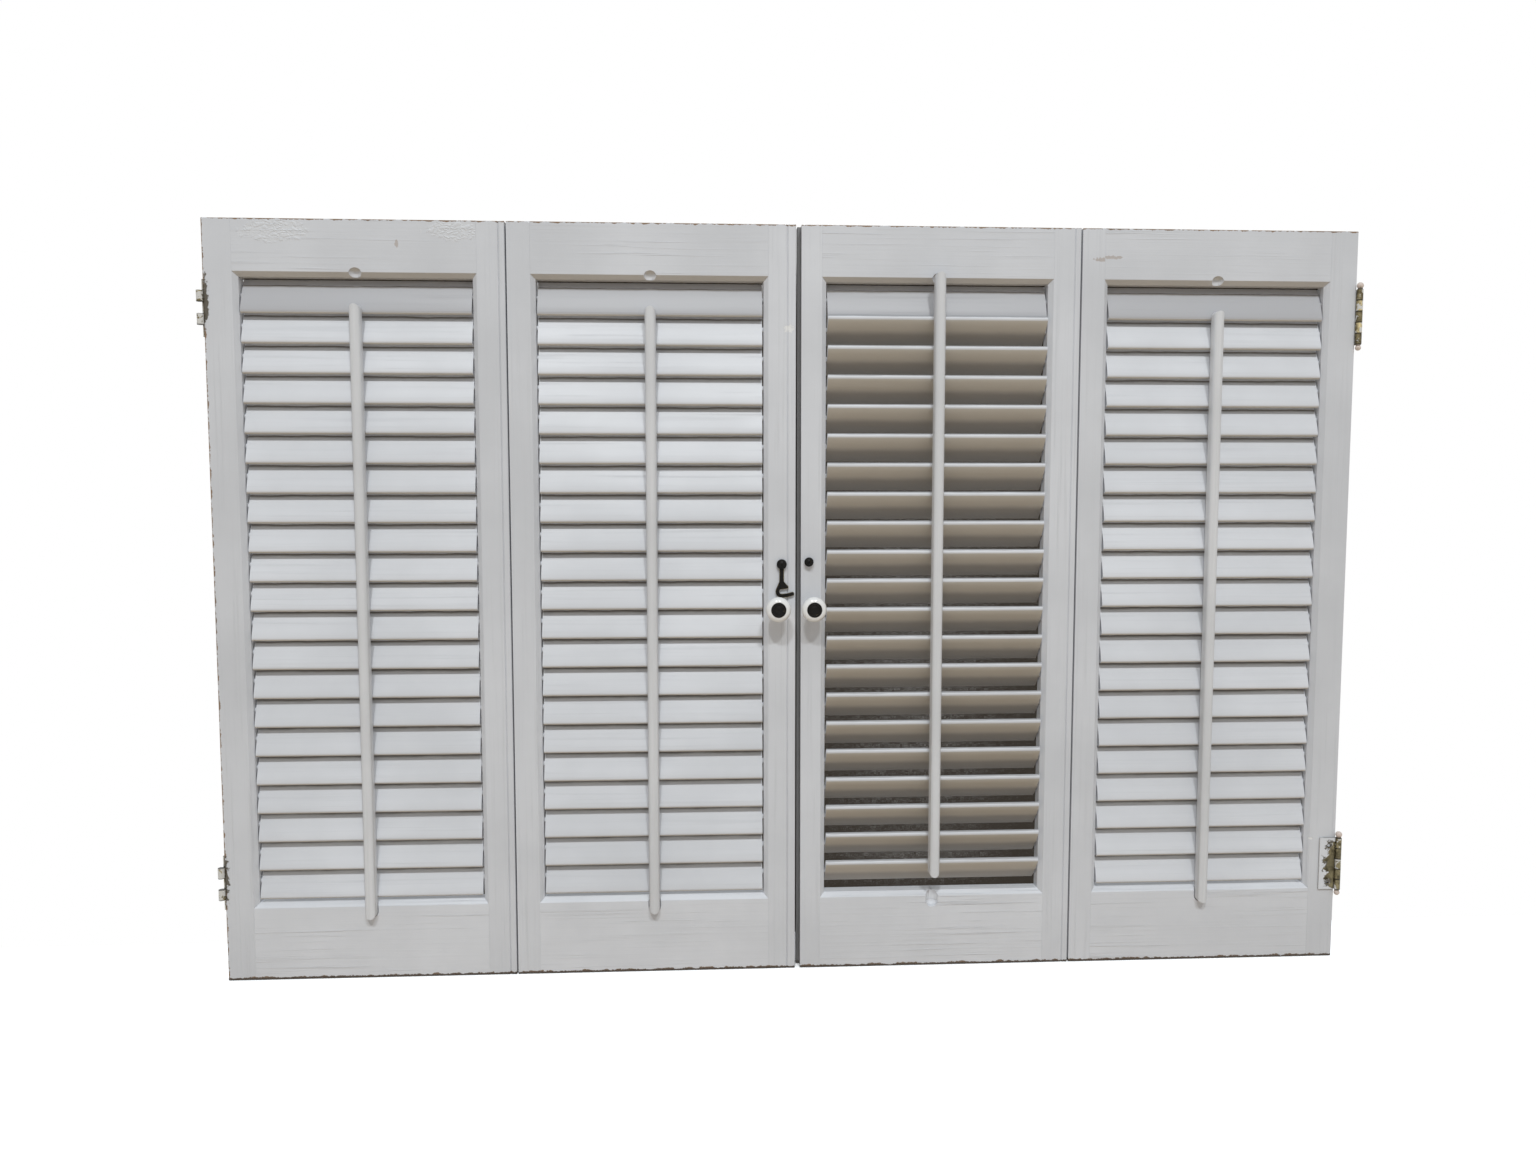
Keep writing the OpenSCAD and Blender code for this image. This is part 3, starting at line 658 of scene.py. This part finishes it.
# the timber's colour, and the mask of where it shows
def bareTimber(tree, given, moved, streak, rim):
    low, high = rim
    worn = useGroup(tree, "rim", (-1200, -340), given["Object"], {"Low": low, "High": high})
    rise = split(tree, given["Object"], (-900, -400))
    # the foot painted near-black: bare timber there, with painted shade where the panel meets the floor
    footShade = ramp(tree, rise["Z"], low[2] + timberSet["footRise"], low[2], (-700, -400))
    deepWood = scaled(timberSet["wood"], timberSet["grainShare"])
    timber = blendColour(tree, streak, timberSet["wood"], deepWood, (-460, 200))
    timber = blendColour(tree, footShade, timber, timberSet["footShade"], (-300, 200))
    facing = split(tree, given["Normal"], (-1200, -560))
    level = ramp(tree, facing["Z"], *timberSet["upward"], (-1000, -560))
    cloud = noise(tree, moved, timberSet["patchScale"], (-1200, -760))
    patches = ramp(tree, cloud, *timberSet["patch"], (-1000, -760), 0.0, timberSet["patchCover"])
    kept = mathNode(tree, "MULTIPLY", level, patches, (-800, -600))
    gone = mathNode(tree, "SUBTRACT", 1.0, kept, (-640, -600))
    return timber, mathNode(tree, "MULTIPLY", worn["Mask"], gone, (-480, -520))


def crackleHeight(tree, coord, mask, row):
    wrinkle = add(tree, "ShaderNodeTexVoronoi", (-900, row - 100),
                  {"Scale": crackleSet["scale"], "Randomness": 1.0}, feature="DISTANCE_TO_EDGE")
    drawn = vectorNode(tree, "MULTIPLY", coord, crackleSet["drawn"], (-1050, row - 100))
    drift = add(tree, "ShaderNodeTexNoise", (-1050, row - 260),
                {"Scale": crackleSet["driftScale"], "Detail": crackleSet["driftDetail"]})
    tree.links.new(coord, drift.inputs["Vector"])
    pulled = vectorNode(tree, "MULTIPLY", drift.outputs["Color"], crackleSet["drift"], (-900, row - 260))
    bent = vectorNode(tree, "ADD", drawn, pulled, (-760, row - 260))
    tree.links.new(bent, wrinkle.inputs["Vector"])
    lifted = ramp(tree, wrinkle.outputs["Distance"], 0.0, crackleSet["slope"], (-700, row - 100),
                  0.0, crackleSet["lift"])
    return mathNode(tree, "MULTIPLY", lifted, mask, (-500, row))


def paintMaterial(name, stretch, colour=None, rim=None, flake=0.04, relief=1.0, dustAndShade=0.0, slat=None,
                  marks=(), shift=(0, 0, 0)):
    material, tree, shader, given, moved = startMaterial(name, shift)
    coord = given["Object"]
    grain = useGroup(tree, "grain", (-1200, 300), moved, {"Stretch": stretch})
    bare = useGroup(tree, "flake", (-1200, -100), moved, {"Spread": flake})["Mask"]
    base = colour or paintSet["colour"]
    pale = scaled(base, 1 + paintSet["cloud"])
    deep = scaled(base, 1 - paintSet["cloud"])
    darker = scaled(base, 1 - paintSet["streak"])
    tone = blendColour(tree, grain["Cloud"], deep, pale, (-900, 420))
    brushed = mathNode(tree, "MULTIPLY", grain["Streak"], paintSet["streakShare"], (-900, 220))
    tone = blendColour(tree, brushed, tone, darker, (-700, 400))
    # downward faces darker and warmer: dust, and painted shade
    if dustAndShade:
        facing = split(tree, given["Normal"], (-1200, 820))
        under = ramp(tree, facing["Z"], *paintSet["underside"], (-1000, 820), 0.0, dustAndShade)
        tone = blendColour(tree, under, tone, paintSet["dustAndShade"], (-420, 560))
    if slat:
        tone = shadeSlat(tree, coord, slat, base, under, tone)
    tone = blendColour(tree, bare, tone, paintSet["undercoat"], (-300, 380))
    if rim:
        timber, shows = bareTimber(tree, given, moved, grain["Streak"], rim)
        tone = blendColour(tree, shows, tone, timber, (-120, 360))
        bare = mathNode(tree, "MAXIMUM", bare, shows, (-700, -200))
    height = mathNode(tree, "SUBTRACT", grain["Height"], bare, (-500, -200))
    for order, one in enumerate(marks):
        kind = markSet[one["kind"]]
        row = -560 - 220 * order
        spot = useGroup(tree, "mark", (-1200, row), coord, one["shape"])["Mask"]
        cover = mathNode(tree, "MULTIPLY", spot, kind["strength"], (-900, row))
        tone = blendColour(tree, cover, tone, kind["colour"], (60 + 160 * order, 340))
        if one["kind"] == "crackle":
            raised = crackleHeight(tree, coord, spot, row)
        else:
            raised = mathNode(tree, "MULTIPLY", spot, kind["height"], (-500, row))
        height = mathNode(tree, "ADD", height, raised, (-300, row))
    tree.links.new(tone, shader.inputs["Base Color"])
    rough = ramp(tree, grain["Streak"], 0.0, 1.0, (-500, 120), *paintSet["roughness"])
    tree.links.new(rough, shader.inputs["Roughness"])
    bumpInto(tree, shader, height, paintSet["bump"], paintSet["grainDepth"] * relief, (60, -260))
    shader.inputs["Specular IOR Level"].default_value = paintSet["specular"]
    return material


# brass hardware under worn white paint; cover is the share of paint left
brassSet = {
    "brass": (0.30, 0.25, 0.14),
    "dull": (0.085, 0.068, 0.036),
    "grime": (0.04, 0.033, 0.022),
    "paint": (0.66, 0.65, 0.62),
    "pink": (0.66, 0.56, 0.50),
    "tarnishScale": 170.0,
    "tarnishNoise": (6.0, 0.65),
    "tarnish": (0.35, 0.65),
    "tornScale": 150.0,
    "tornNoise": (5.0, 0.6),
    "tornEdge": (0.98, 1.0),
    "rub": {"Amount": 0.5},
    "dirt": {"Amount": 0.9, "Reach": 2.5 * mm},
    "jointShade": 0.9,
    "metallic": 0.85,
    "rough": (0.3, 0.7),
    "roughness": (0.34, 0.52),
    "bump": 0.6,
    "film": 0.12 * mm,
}


def brassMaterial(name, cover, paint="paint", shift=(0, 0, 0), paintedTo=None, tone=1.0):
    material, tree, shader, given, moved = startMaterial(name, shift)
    tarnish = noise(tree, moved, brassSet["tarnishScale"], (-1200, 300), *brassSet["tarnishNoise"])
    torn = noise(tree, moved, brassSet["tornScale"], (-1200, -220), *brassSet["tornNoise"])
    edge = useGroup(tree, "rub", (-1200, 60), moved, brassSet["rub"])["Mask"]
    dirt = useGroup(tree, "grime", (-1200, -440), moved, brassSet["dirt"])["Mask"]
    joints = useGroup(tree, "knuckles", (-1200, 760), given["Object"])["Mask"]
    bright = ramp(tree, tarnish, *brassSet["tarnish"], (-900, 300))
    dull = scaled(brassSet["dull"], tone)
    shiny = scaled(brassSet["brass"], tone)
    metal = blendColour(tree, bright, dull, shiny, (-700, 300))
    low, high = brassSet["tornEdge"]
    left = ramp(tree, torn, low - cover, high - cover, (-900, -220))
    keep = mathNode(tree, "SUBTRACT", 1.0, edge, (-900, 20))
    painted = mathNode(tree, "MULTIPLY", left, keep, (-700, -100))
    if paintedTo is not None:
        across = split(tree, given["Object"], (-1200, 520))["X"]
        whole = ramp(tree, across, paintedTo + mm, paintedTo, (-900, 520))
        painted = mathNode(tree, "MAXIMUM", painted, whole, (-560, -100))
    coated = blendColour(tree, painted, metal, brassSet[paint], (-400, 240))
    # painted shade in the knuckle joints, in the grime colour
    jointShade = mathNode(tree, "MULTIPLY", joints, brassSet["jointShade"], (-400, 420))
    dark = mathNode(tree, "MAXIMUM", dirt, jointShade, (-300, 400))
    colour = blendColour(tree, dark, coated, brassSet["grime"], (-200, 240))
    tree.links.new(colour, shader.inputs["Base Color"])
    metallic = ramp(tree, painted, 0.0, 1.0, (-400, -60), brassSet["metallic"], 0.0)
    tree.links.new(metallic, shader.inputs["Metallic"])
    rough = ramp(tree, tarnish, *brassSet["rough"], (-700, 60), *brassSet["roughness"])
    tree.links.new(rough, shader.inputs["Roughness"])
    bumpInto(tree, shader, painted, brassSet["bump"], brassSet["film"], (-60, -260))
    return material


# black finish rubbed through to brass at its edges
blackSet = {
    "black": (0.006, 0.0055, 0.005),
    "dusty": (0.012, 0.010, 0.008),
    "brass": (0.33, 0.26, 0.13),
    "radius": 0.6 * mm,
    "rubScale": 260.0,
    "speckScale": 420.0,
    "speckNoise": (5.0, 0.7),
    "speck": (0.42, 0.72),
    "rough": (0.3, 0.7),
    "roughSpan": 0.18,
    "bump": 0.25,
    "pitted": 0.1 * mm,
    "specular": 0.12,
}


def blackMaterial(name, rub, roughness):
    material, tree, shader, _, moved = startMaterial(name)
    edge = useGroup(tree, "rub", (-1200, 60), moved, {
        "Amount": rub, "Radius": blackSet["radius"], "Scale": blackSet["rubScale"]})["Mask"]
    speck = noise(tree, moved, blackSet["speckScale"], (-1200, 300), *blackSet["speckNoise"])
    dusty = ramp(tree, speck, *blackSet["speck"], (-900, 300))
    tone = blendColour(tree, dusty, blackSet["black"], blackSet["dusty"], (-700, 300))
    colour = blendColour(tree, edge, tone, blackSet["brass"], (-300, 240))
    tree.links.new(colour, shader.inputs["Base Color"])
    tree.links.new(edge, shader.inputs["Metallic"])
    rough = ramp(tree, speck, *blackSet["rough"], (-700, 60), roughness, roughness + blackSet["roughSpan"])
    tree.links.new(rough, shader.inputs["Roughness"])
    bumpInto(tree, shader, speck, blackSet["bump"], blackSet["pitted"], (-60, -260))
    shader.inputs["Specular IOR Level"].default_value = blackSet["specular"]
    return material


# glazed white porcelain with faint dirt
porcelainSet = {
    "glaze": (0.86, 0.86, 0.85),
    "stain": (0.60, 0.57, 0.51),
    "dirt": {"Amount": 0.6, "Reach": 4 * mm},
    "cloudScale": 120.0,
    "stained": (0.55, 0.9),
    "stainCover": 0.35,
    "rough": (0.3, 0.8),
    "roughness": (0.10, 0.22),
    "coat": 0.6,
    "coatRoughness": 0.06,
}


def porcelainMaterial(name):
    material, tree, shader, _, moved = startMaterial(name)
    dirt = useGroup(tree, "grime", (-1200, -100), moved, porcelainSet["dirt"])["Mask"]
    cloud = noise(tree, moved, porcelainSet["cloudScale"], (-1200, 200))
    stain = ramp(tree, cloud, *porcelainSet["stained"], (-900, 200), 0.0, porcelainSet["stainCover"])
    mask = mathNode(tree, "MAXIMUM", dirt, stain, (-700, 60))
    colour = blendColour(tree, mask, porcelainSet["glaze"], porcelainSet["stain"], (-300, 200))
    tree.links.new(colour, shader.inputs["Base Color"])
    rough = ramp(tree, cloud, *porcelainSet["rough"], (-700, -120), *porcelainSet["roughness"])
    tree.links.new(rough, shader.inputs["Roughness"])
    shader.inputs["Coat Weight"].default_value = porcelainSet["coat"]
    shader.inputs["Coat Roughness"].default_value = porcelainSet["coatRoughness"]
    return material


# rounded edges: width, least angle, and the share kept where rail meets stile
edgeSet = {
    "frame": {"width": 0.50 * mm, "angle": 28, "segments": 2},
    "louvre": {"width": 0.50 * mm, "angle": 50, "segments": 2},
    "metal": {"width": 0.18 * mm, "angle": 50, "segments": 2},
    "jointShare": 0.40,
    "moulded": 4 * mm,
    "weld": 0.002 * mm,
    "near": 0.06 * mm,
    "shortest": 0.8 * mm,
    "keyDigits": 5,
}


def openingOf(panel):
    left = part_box(panel + "_left_stile")[1].x
    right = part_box(panel + "_right_stile")[0].x
    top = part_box(panel + "_top_rail")[0].z
    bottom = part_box(panel + "_bottom_rail")[1].z
    return left, right, bottom, top


# a point where a rail meets a stile: on the straight joint or on the mitre
def onJoint(point, opening):
    left, right, bottom, top = opening
    bevel = edgeSet["moulded"]
    across = max(left - point.x, point.x - right)
    along = max(point.z - top, bottom - point.z)
    near = edgeSet["near"]
    straight = abs(across - bevel) < near and along > bevel - near
    mitre = abs(across - along) < near and -near < across < bevel + near
    return straight or mitre


def edgeKey(first, second):
    return frozenset(tuple(round(c, edgeSet["keyDigits"]) for c in end) for end in (first, second))


def weighEdges(piece, panel):
    mesh = piece.data
    opening = openingOf(panel)
    middle = (opening[0] + opening[1]) / 2
    form = bmesh.new()
    form.from_mesh(mesh)
    bmesh.ops.remove_doubles(form, verts=form.verts, dist=edgeSet["weld"])
    least = math.radians(edgeSet["frame"]["angle"])
    weights = {}
    creases = set()
    for edge in form.edges:
        if len(edge.link_faces) != 2 or edge.calc_face_angle() < least:
            continue
        first, second = (v.co for v in edge.verts)
        if edge.calc_length() < edgeSet["shortest"]:
            creases.add(edgeKey(first, second))
            continue
        meets = onJoint(first, opening) and onJoint(second, opening)
        sameSide = (first.x - middle) * (second.x - middle) > 0
        weights[edgeKey(first, second)] = edgeSet["jointShare"] if meets and sameSide else 1.0
    form.free()
    layer = mesh.attributes.new("bevel_weight_edge", "FLOAT", "EDGE")
    for edge in mesh.edges:
        first, second = (mesh.vertices[v].co for v in edge.vertices)
        key = edgeKey(first, second)
        layer.data[edge.index].value = weights.get(key, 0.0)
        edge.use_edge_sharp = key in creases


def softenEdges(piece, kind, panel=None):
    mesh = piece.data
    if "custom_normal" in mesh.attributes:
        mesh.attributes.remove(mesh.attributes["custom_normal"])
    mesh.shade_smooth()
    setting = edgeSet[kind]
    weld = piece.modifiers.new("weld", "WELD")
    weld.merge_threshold = edgeSet["weld"]
    bevel = piece.modifiers.new("roundedEdges", "BEVEL")
    bevel.width = setting["width"]
    bevel.segments = setting["segments"]
    bevel.limit_method = "ANGLE"
    bevel.angle_limit = math.radians(setting["angle"])
    bevel.use_clamp_overlap = True
    bevel.harden_normals = True
    bevel.miter_outer = "MITER_ARC"
    if panel:
        weighEdges(piece, panel)
        bevel.limit_method = "WEIGHT"


def dress(name, material, kind, panel=None):
    piece = nodes[name]
    piece.data.materials.clear()
    piece.data.materials.append(material)
    softenEdges(piece, kind, panel)


# painted shade down the meeting gap between panels 2 and 3, and wear seen on single pieces of the frame
meetingGapShade = mark("gap", (0.003, 0.012, 0.33), (0.0062, 0.0105, 0.6), 60.0, 0.8)
frameMarks = {
    "panel_1_left_stile": [
        mark("chip", (-0.5005, 0.001, 0.590), (0.0042, 0.006, 0.021), 260.0, 3.2),
        mark("chip", (-0.5005, 0.001, 0.092), (0.0040, 0.006, 0.020), 250.0, 3.2),
    ],
    "panel_1_top_rail": [
        mark("crackle", (-0.440, 0.0, 0.650), (0.030, 0.01, 0.010), 120.0),
        mark("crackle", (-0.292, 0.0, 0.651), (0.024, 0.01, 0.009), 120.0),
        mark("scuff", (-0.339, 0.0, 0.640), (0.0016, 0.01, 0.0034), 500.0),
    ],
    "panel_3_left_stile": [meetingGapShade],
    "panel_2_right_stile": [
        meetingGapShade,
        mark("nick", (-0.0055, 0.0, 0.5715), (0.0046, 0.01, 0.0032), 420.0, 3.6),
    ],
    "panel_4_top_rail": [mark("scuff", (0.2790, 0.0, 0.6350), (0.0085, 0.01, 0.0016), 380.0, 3.0)],
    "panel_4_left_stile": [mark("scuff", (0.2690, 0.0, 0.6330), (0.0060, 0.01, 0.0018), 380.0, 3.0)],
    "panel_4_right_stile": [mark("nick", (0.4772, 0.0, 0.1115), (0.0018, 0.01, 0.0012), 600.0, 1.6)],
}


# paint tone per piece: stiles and top rails painted darker than the louvres and bottom rails paler, as
# painted shade and light; the outer stiles darker, the meeting stiles paler
toneOf = {
    "left_stile": 0.965,
    "right_stile": 0.965,
    "top_rail": 0.95,
    "bottom_rail": 1.025,
    "panel_1_left_stile": 0.94,
    "panel_4_right_stile": 0.93,
    "panel_4_bottom_rail": 1.0,
    "panel_2_right_stile": 0.99,
    "panel_3_left_stile": 0.99,
}


# how far the grain stands up
reliefOf = {
    "left_stile": 0.9,
    "right_stile": 0.9,
    "top_rail": 1.5,
    "bottom_rail": 1.7,
    "panel_3_bottom_rail": 3.0,
}


# finish of the frames, the louvres and the rods; shift moves the pattern from panel to panel
panelSet = {
    "frameDustAndShade": 0.55,
    "shift": (0.37, 0.0, 0.11),
    "shut": {"flake": 0.02, "relief": 0.5, "dustAndShade": 0.7},
    "raised": {"flake": 0.02, "relief": 0.5, "dustAndShade": 0.8},
    "rod": {"colour": (0.692, 0.700, 0.715), "flake": 0.03, "relief": 0.5},
}


# sides of each panel whose paint is gone along the edge
def rimOf(number):
    panel = "panel_%d" % number
    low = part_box(panel + "_left_stile")[0]
    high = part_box(panel + "_right_stile")[1]
    far = rimSet["far"]
    left = low.x if number == 1 else -far
    return (left, -far, low.z + rimSet["footShade"]), (far, far, high.z)


def dressPanels():
    shut = paintMaterial("shutLouvrePaint", paintSet["level"], slat="shut", **panelSet["shut"])
    raised = paintMaterial("raisedLouvrePaint", paintSet["level"], slat="raised", **panelSet["raised"])
    rod = paintMaterial("rodPaint", paintSet["upright"], **panelSet["rod"])
    for number in range(1, 5):
        panel = "panel_%d" % number
        rim = rimOf(number)
        for side in ("left_stile", "right_stile", "top_rail", "bottom_rail"):
            name = panel + "_" + side
            stretch = paintSet["upright"] if "stile" in side else paintSet["level"]
            tone = scaled(paintSet["colour"], toneOf.get(name, toneOf[side]))
            relief = reliefOf.get(name, reliefOf[side])
            finish = paintMaterial(name + "_paint", stretch, tone, rim=rim, dustAndShade=panelSet["frameDustAndShade"],
                                   relief=relief, marks=frameMarks.get(name, ()),
                                   shift=scaled(panelSet["shift"], number))
            dress(name, finish, "frame", panel)
    for name in nodes:
        if name.endswith("louvres") or name.endswith("louvre_01"):
            dress(name, shut, "louvre")
        elif "louvre" in name:
            dress(name, raised, "louvre")
        elif "tilt_rod" in name:
            dress(name, rod, "louvre")
    print("panels dressed")


# how much paint each hinge piece has kept, and how bright its brass is
hingeSet = {
    "edgeHingeBrass": {"cover": 0.44, "tone": 0.8},
    "jambHingeBrass": {"cover": 0.50, "shift": (0.1, 0.4, 0), "tone": 1.9},
    "paintedHingeBrass": {"cover": 0.56, "shift": (0.7, 0.2, 0)},
    "finialPaint": {"cover": 0.60, "paint": "pink", "shift": (0.3, 0, 1.1)},
    "looseLeafBrass": {"cover": 0.30, "shift": (0.2, 0, 0.6), "tone": 0.62},
}
leafPainted = 3 * mm

# rub at the edges, and least roughness
blackPieces = {
    "hookBlack": {"rub": 0.60, "roughness": 0.40},
    "screwBlack": {"rub": 0.12, "roughness": 0.34},
}


def dressHardware():
    edgeBrass = brassMaterial("edgeHingeBrass", **hingeSet["edgeHingeBrass"])
    jambBrass = brassMaterial("jambHingeBrass", **hingeSet["jambHingeBrass"])
    paintedBrass = brassMaterial("paintedHingeBrass", **hingeSet["paintedHingeBrass"])
    finialPaint = brassMaterial("finialPaint", **hingeSet["finialPaint"])
    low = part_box("loose_leaf")[0]
    leafBrass = brassMaterial("looseLeafBrass", paintedTo=low.x + leafPainted, **hingeSet["looseLeafBrass"])
    hook = blackMaterial("hookBlack", **blackPieces["hookBlack"])
    screw = blackMaterial("screwBlack", **blackPieces["screwBlack"])
    glaze = porcelainMaterial("porcelain")
    finishes = {
        "right_jamb_leaf": jambBrass,
        "loose_leaf": leafBrass,
        "panel_4_edge_leaves": edgeBrass,
        "panel_1_edge_leaves": paintedBrass,
        "panel_4_hinge_pins": finialPaint,
        "latch_hook": hook,
        "hook_screw": screw,
        "catch_stud": screw,
    }
    for name in nodes:
        if name.endswith("fold_leaves"):
            finishes[name] = paintedBrass
        elif name.endswith("knob"):
            finishes[name] = glaze
        elif name.endswith("knob_screw"):
            finishes[name] = screw
    for name, finish in finishes.items():
        dress(name, finish, "metal")
    print("hardware dressed")


# paint film left on the loose leaf, torn in teeth towards the knuckles;
# down and across are shares of the leaf, holes stay open round the screws
filmSet = {
    "thick": 0.10 * mm,
    "leafFace": -1.6 * mm,
    "reach": 15.4 * mm,
    "hem": 0.05 * mm,
    "screwAcross": 9.0 * mm,
    "screwApart": 34 * mm,
    "holeRadius": 2.5 * mm,
    "holeSides": 18,
    "flake": 0.16,
    "marks": [
        mark("chip", (0.4945, -0.0035, 0.105), (0.0042, 0.01, 0.0042), 420.0, 4.0),
        mark("chip", (0.4945, -0.0035, 0.071), (0.0042, 0.01, 0.0042), 400.0, 4.0),
        mark("chip", (0.4935, -0.0035, 0.088), (0.0050, 0.01, 0.0080), 380.0, 4.4),
    ],
    "teeth": [
        (0.0, 0.98), (0.06, 0.96), (0.10, 0.74), (0.20, 0.66), (0.27, 0.52), (0.33, 0.60), (0.42, 0.30),
        (0.45, 0.22), (0.47, 0.50), (0.55, 0.44), (0.60, 0.20), (0.63, 0.36), (0.67, 0.62), (0.73, 0.40),
        (0.80, 0.26), (0.83, 0.50), (0.90, 0.68), (0.95, 0.60), (1.0, 0.90),
    ],
}


def filmOutlines():
    low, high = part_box("loose_leaf")
    left = low.x - filmSet["hem"]
    top = high.z + filmSet["hem"]
    bottom = low.z - filmSet["hem"]
    points = [(left, top)]
    for down, across in filmSet["teeth"]:
        points.append((left + filmSet["reach"] * across, top + (bottom - top) * down))
    points.append((left, bottom))
    middle = (top + bottom) / 2
    radius = filmSet["holeRadius"]
    turns = [math.radians(360 / filmSet["holeSides"] * n) for n in range(filmSet["holeSides"])]
    rings = [points]
    for step in (-0.5, 0.5):
        x = low.x + filmSet["screwAcross"]
        z = middle + step * filmSet["screwApart"]
        rings.append([(x + radius * math.cos(a), z + radius * math.sin(a)) for a in turns])
    return rings


def makePaintFilm():
    curve = bpy.data.curves.new("leafFilmOutline", "CURVE")
    curve.dimensions = "2D"
    curve.fill_mode = "BOTH"
    curve.extrude = filmSet["thick"] / 2
    for ring in filmOutlines():
        spline = curve.splines.new("POLY")
        spline.points.add(len(ring) - 1)
        spline.use_cyclic_u = True
        for spot, (x, z) in zip(spline.points, ring):
            spot.co = (x, z, 0, 1)
    outline = bpy.data.objects.new("leafFilmOutline", curve)
    bpy.context.collection.objects.link(outline)
    mesh = bpy.data.meshes.new_from_object(outline)
    bpy.data.objects.remove(outline)
    face = filmSet["leafFace"] - filmSet["thick"] / 2
    for vertex in mesh.vertices:
        vertex.co = (vertex.co.x, face + vertex.co.z, vertex.co.y)
    film = bpy.data.objects.new("leafPaintFilm", mesh)
    bpy.context.collection.objects.link(film)
    mesh.materials.clear()
    finish = paintMaterial("filmPaint", paintSet["upright"], flake=filmSet["flake"], marks=filmSet["marks"])
    mesh.materials.append(finish)
    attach(film, "loose_leaf")
    print("paint film made, face at", round(face / mm, 3), "mm")


# a dark strip between each top louvre and its rail: packed dust, and a sheet of painted shade in that slit
# that also keeps out light from behind; two waves ruffle its lower edge
dustShadeSet = {
    "front": 13.5 * mm,
    "back": 15.6 * mm,
    "below": 0.95 * mm,
    "wave": 0.22 * mm,
    "waves": (17, 41),
    "clear": 0.02 * mm,
    "inset": 0.4 * mm,
    "steps": 44,
    "dark": (0.030, 0.024, 0.018),
    "pale": (0.075, 0.062, 0.048),
    "speckScale": 420.0,
    "speckNoise": (5.0, 0.7),
    "speck": (0.4, 0.7),
    "bump": 0.4,
    "pitted": 0.2 * mm,
    "roughness": 0.95,
}


# near-black speckled finish of the strip: packed dust and painted shade
def dustShadeMaterial(name):
    material, tree, shader, _, moved = startMaterial(name)
    speck = noise(tree, moved, dustShadeSet["speckScale"], (-900, 300), *dustShadeSet["speckNoise"])
    share = ramp(tree, speck, *dustShadeSet["speck"], (-700, 300))
    colour = blendColour(tree, share, dustShadeSet["dark"], dustShadeSet["pale"], (-400, 300))
    tree.links.new(colour, shader.inputs["Base Color"])
    bumpInto(tree, shader, speck, dustShadeSet["bump"], dustShadeSet["pitted"], (-60, -260))
    shader.inputs["Roughness"].default_value = dustShadeSet["roughness"]
    return material


def makeDustShadeStrips():
    dustShade = dustShadeMaterial("packedDustShade")
    front = dustShadeSet["front"]
    back = dustShadeSet["back"]
    roof = -dustShadeSet["clear"]
    slow, quick = dustShadeSet["waves"]
    for number in range(1, 5):
        panel = "panel_%d" % number
        left, right, _, top = openingOf(panel)
        points = []
        for step in range(dustShadeSet["steps"] + 1):
            share = step / dustShadeSet["steps"]
            x = left + dustShadeSet["inset"] + (right - left - 2 * dustShadeSet["inset"]) * share
            ruffle = dustShadeSet["wave"] * math.sin(slow * share + number) * math.sin(quick * share)
            hang = dustShadeSet["below"] + ruffle
            for y, z in ((front, roof), (back, roof), (back, -hang), (front, -hang)):
                points.append((x, y, top + z))
        faces = [(0, 1, 2, 3)]
        for step in range(dustShadeSet["steps"]):
            near = 4 * step
            for side in range(4):
                turn = (side + 1) % 4
                faces.append((near + side, near + 4 + side, near + 4 + turn, near + turn))
        last = 4 * dustShadeSet["steps"]
        faces.append((last + 3, last + 2, last + 1, last))
        mesh = bpy.data.meshes.new(panel + "_dustShade")
        mesh.from_pydata(points, [], faces)
        strip = bpy.data.objects.new(panel + "_dustShade", mesh)
        bpy.context.collection.objects.link(strip)
        mesh.materials.append(dustShade)
        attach(strip, panel)
    print("dust strips made")


makeCamera()
makeLamps()
makeRoom()
makeGroups()
dressPanels()
dressHardware()
makePaintFilm()
makeDustShadeStrips()

bpy.context.scene.view_settings.view_transform = "Standard"
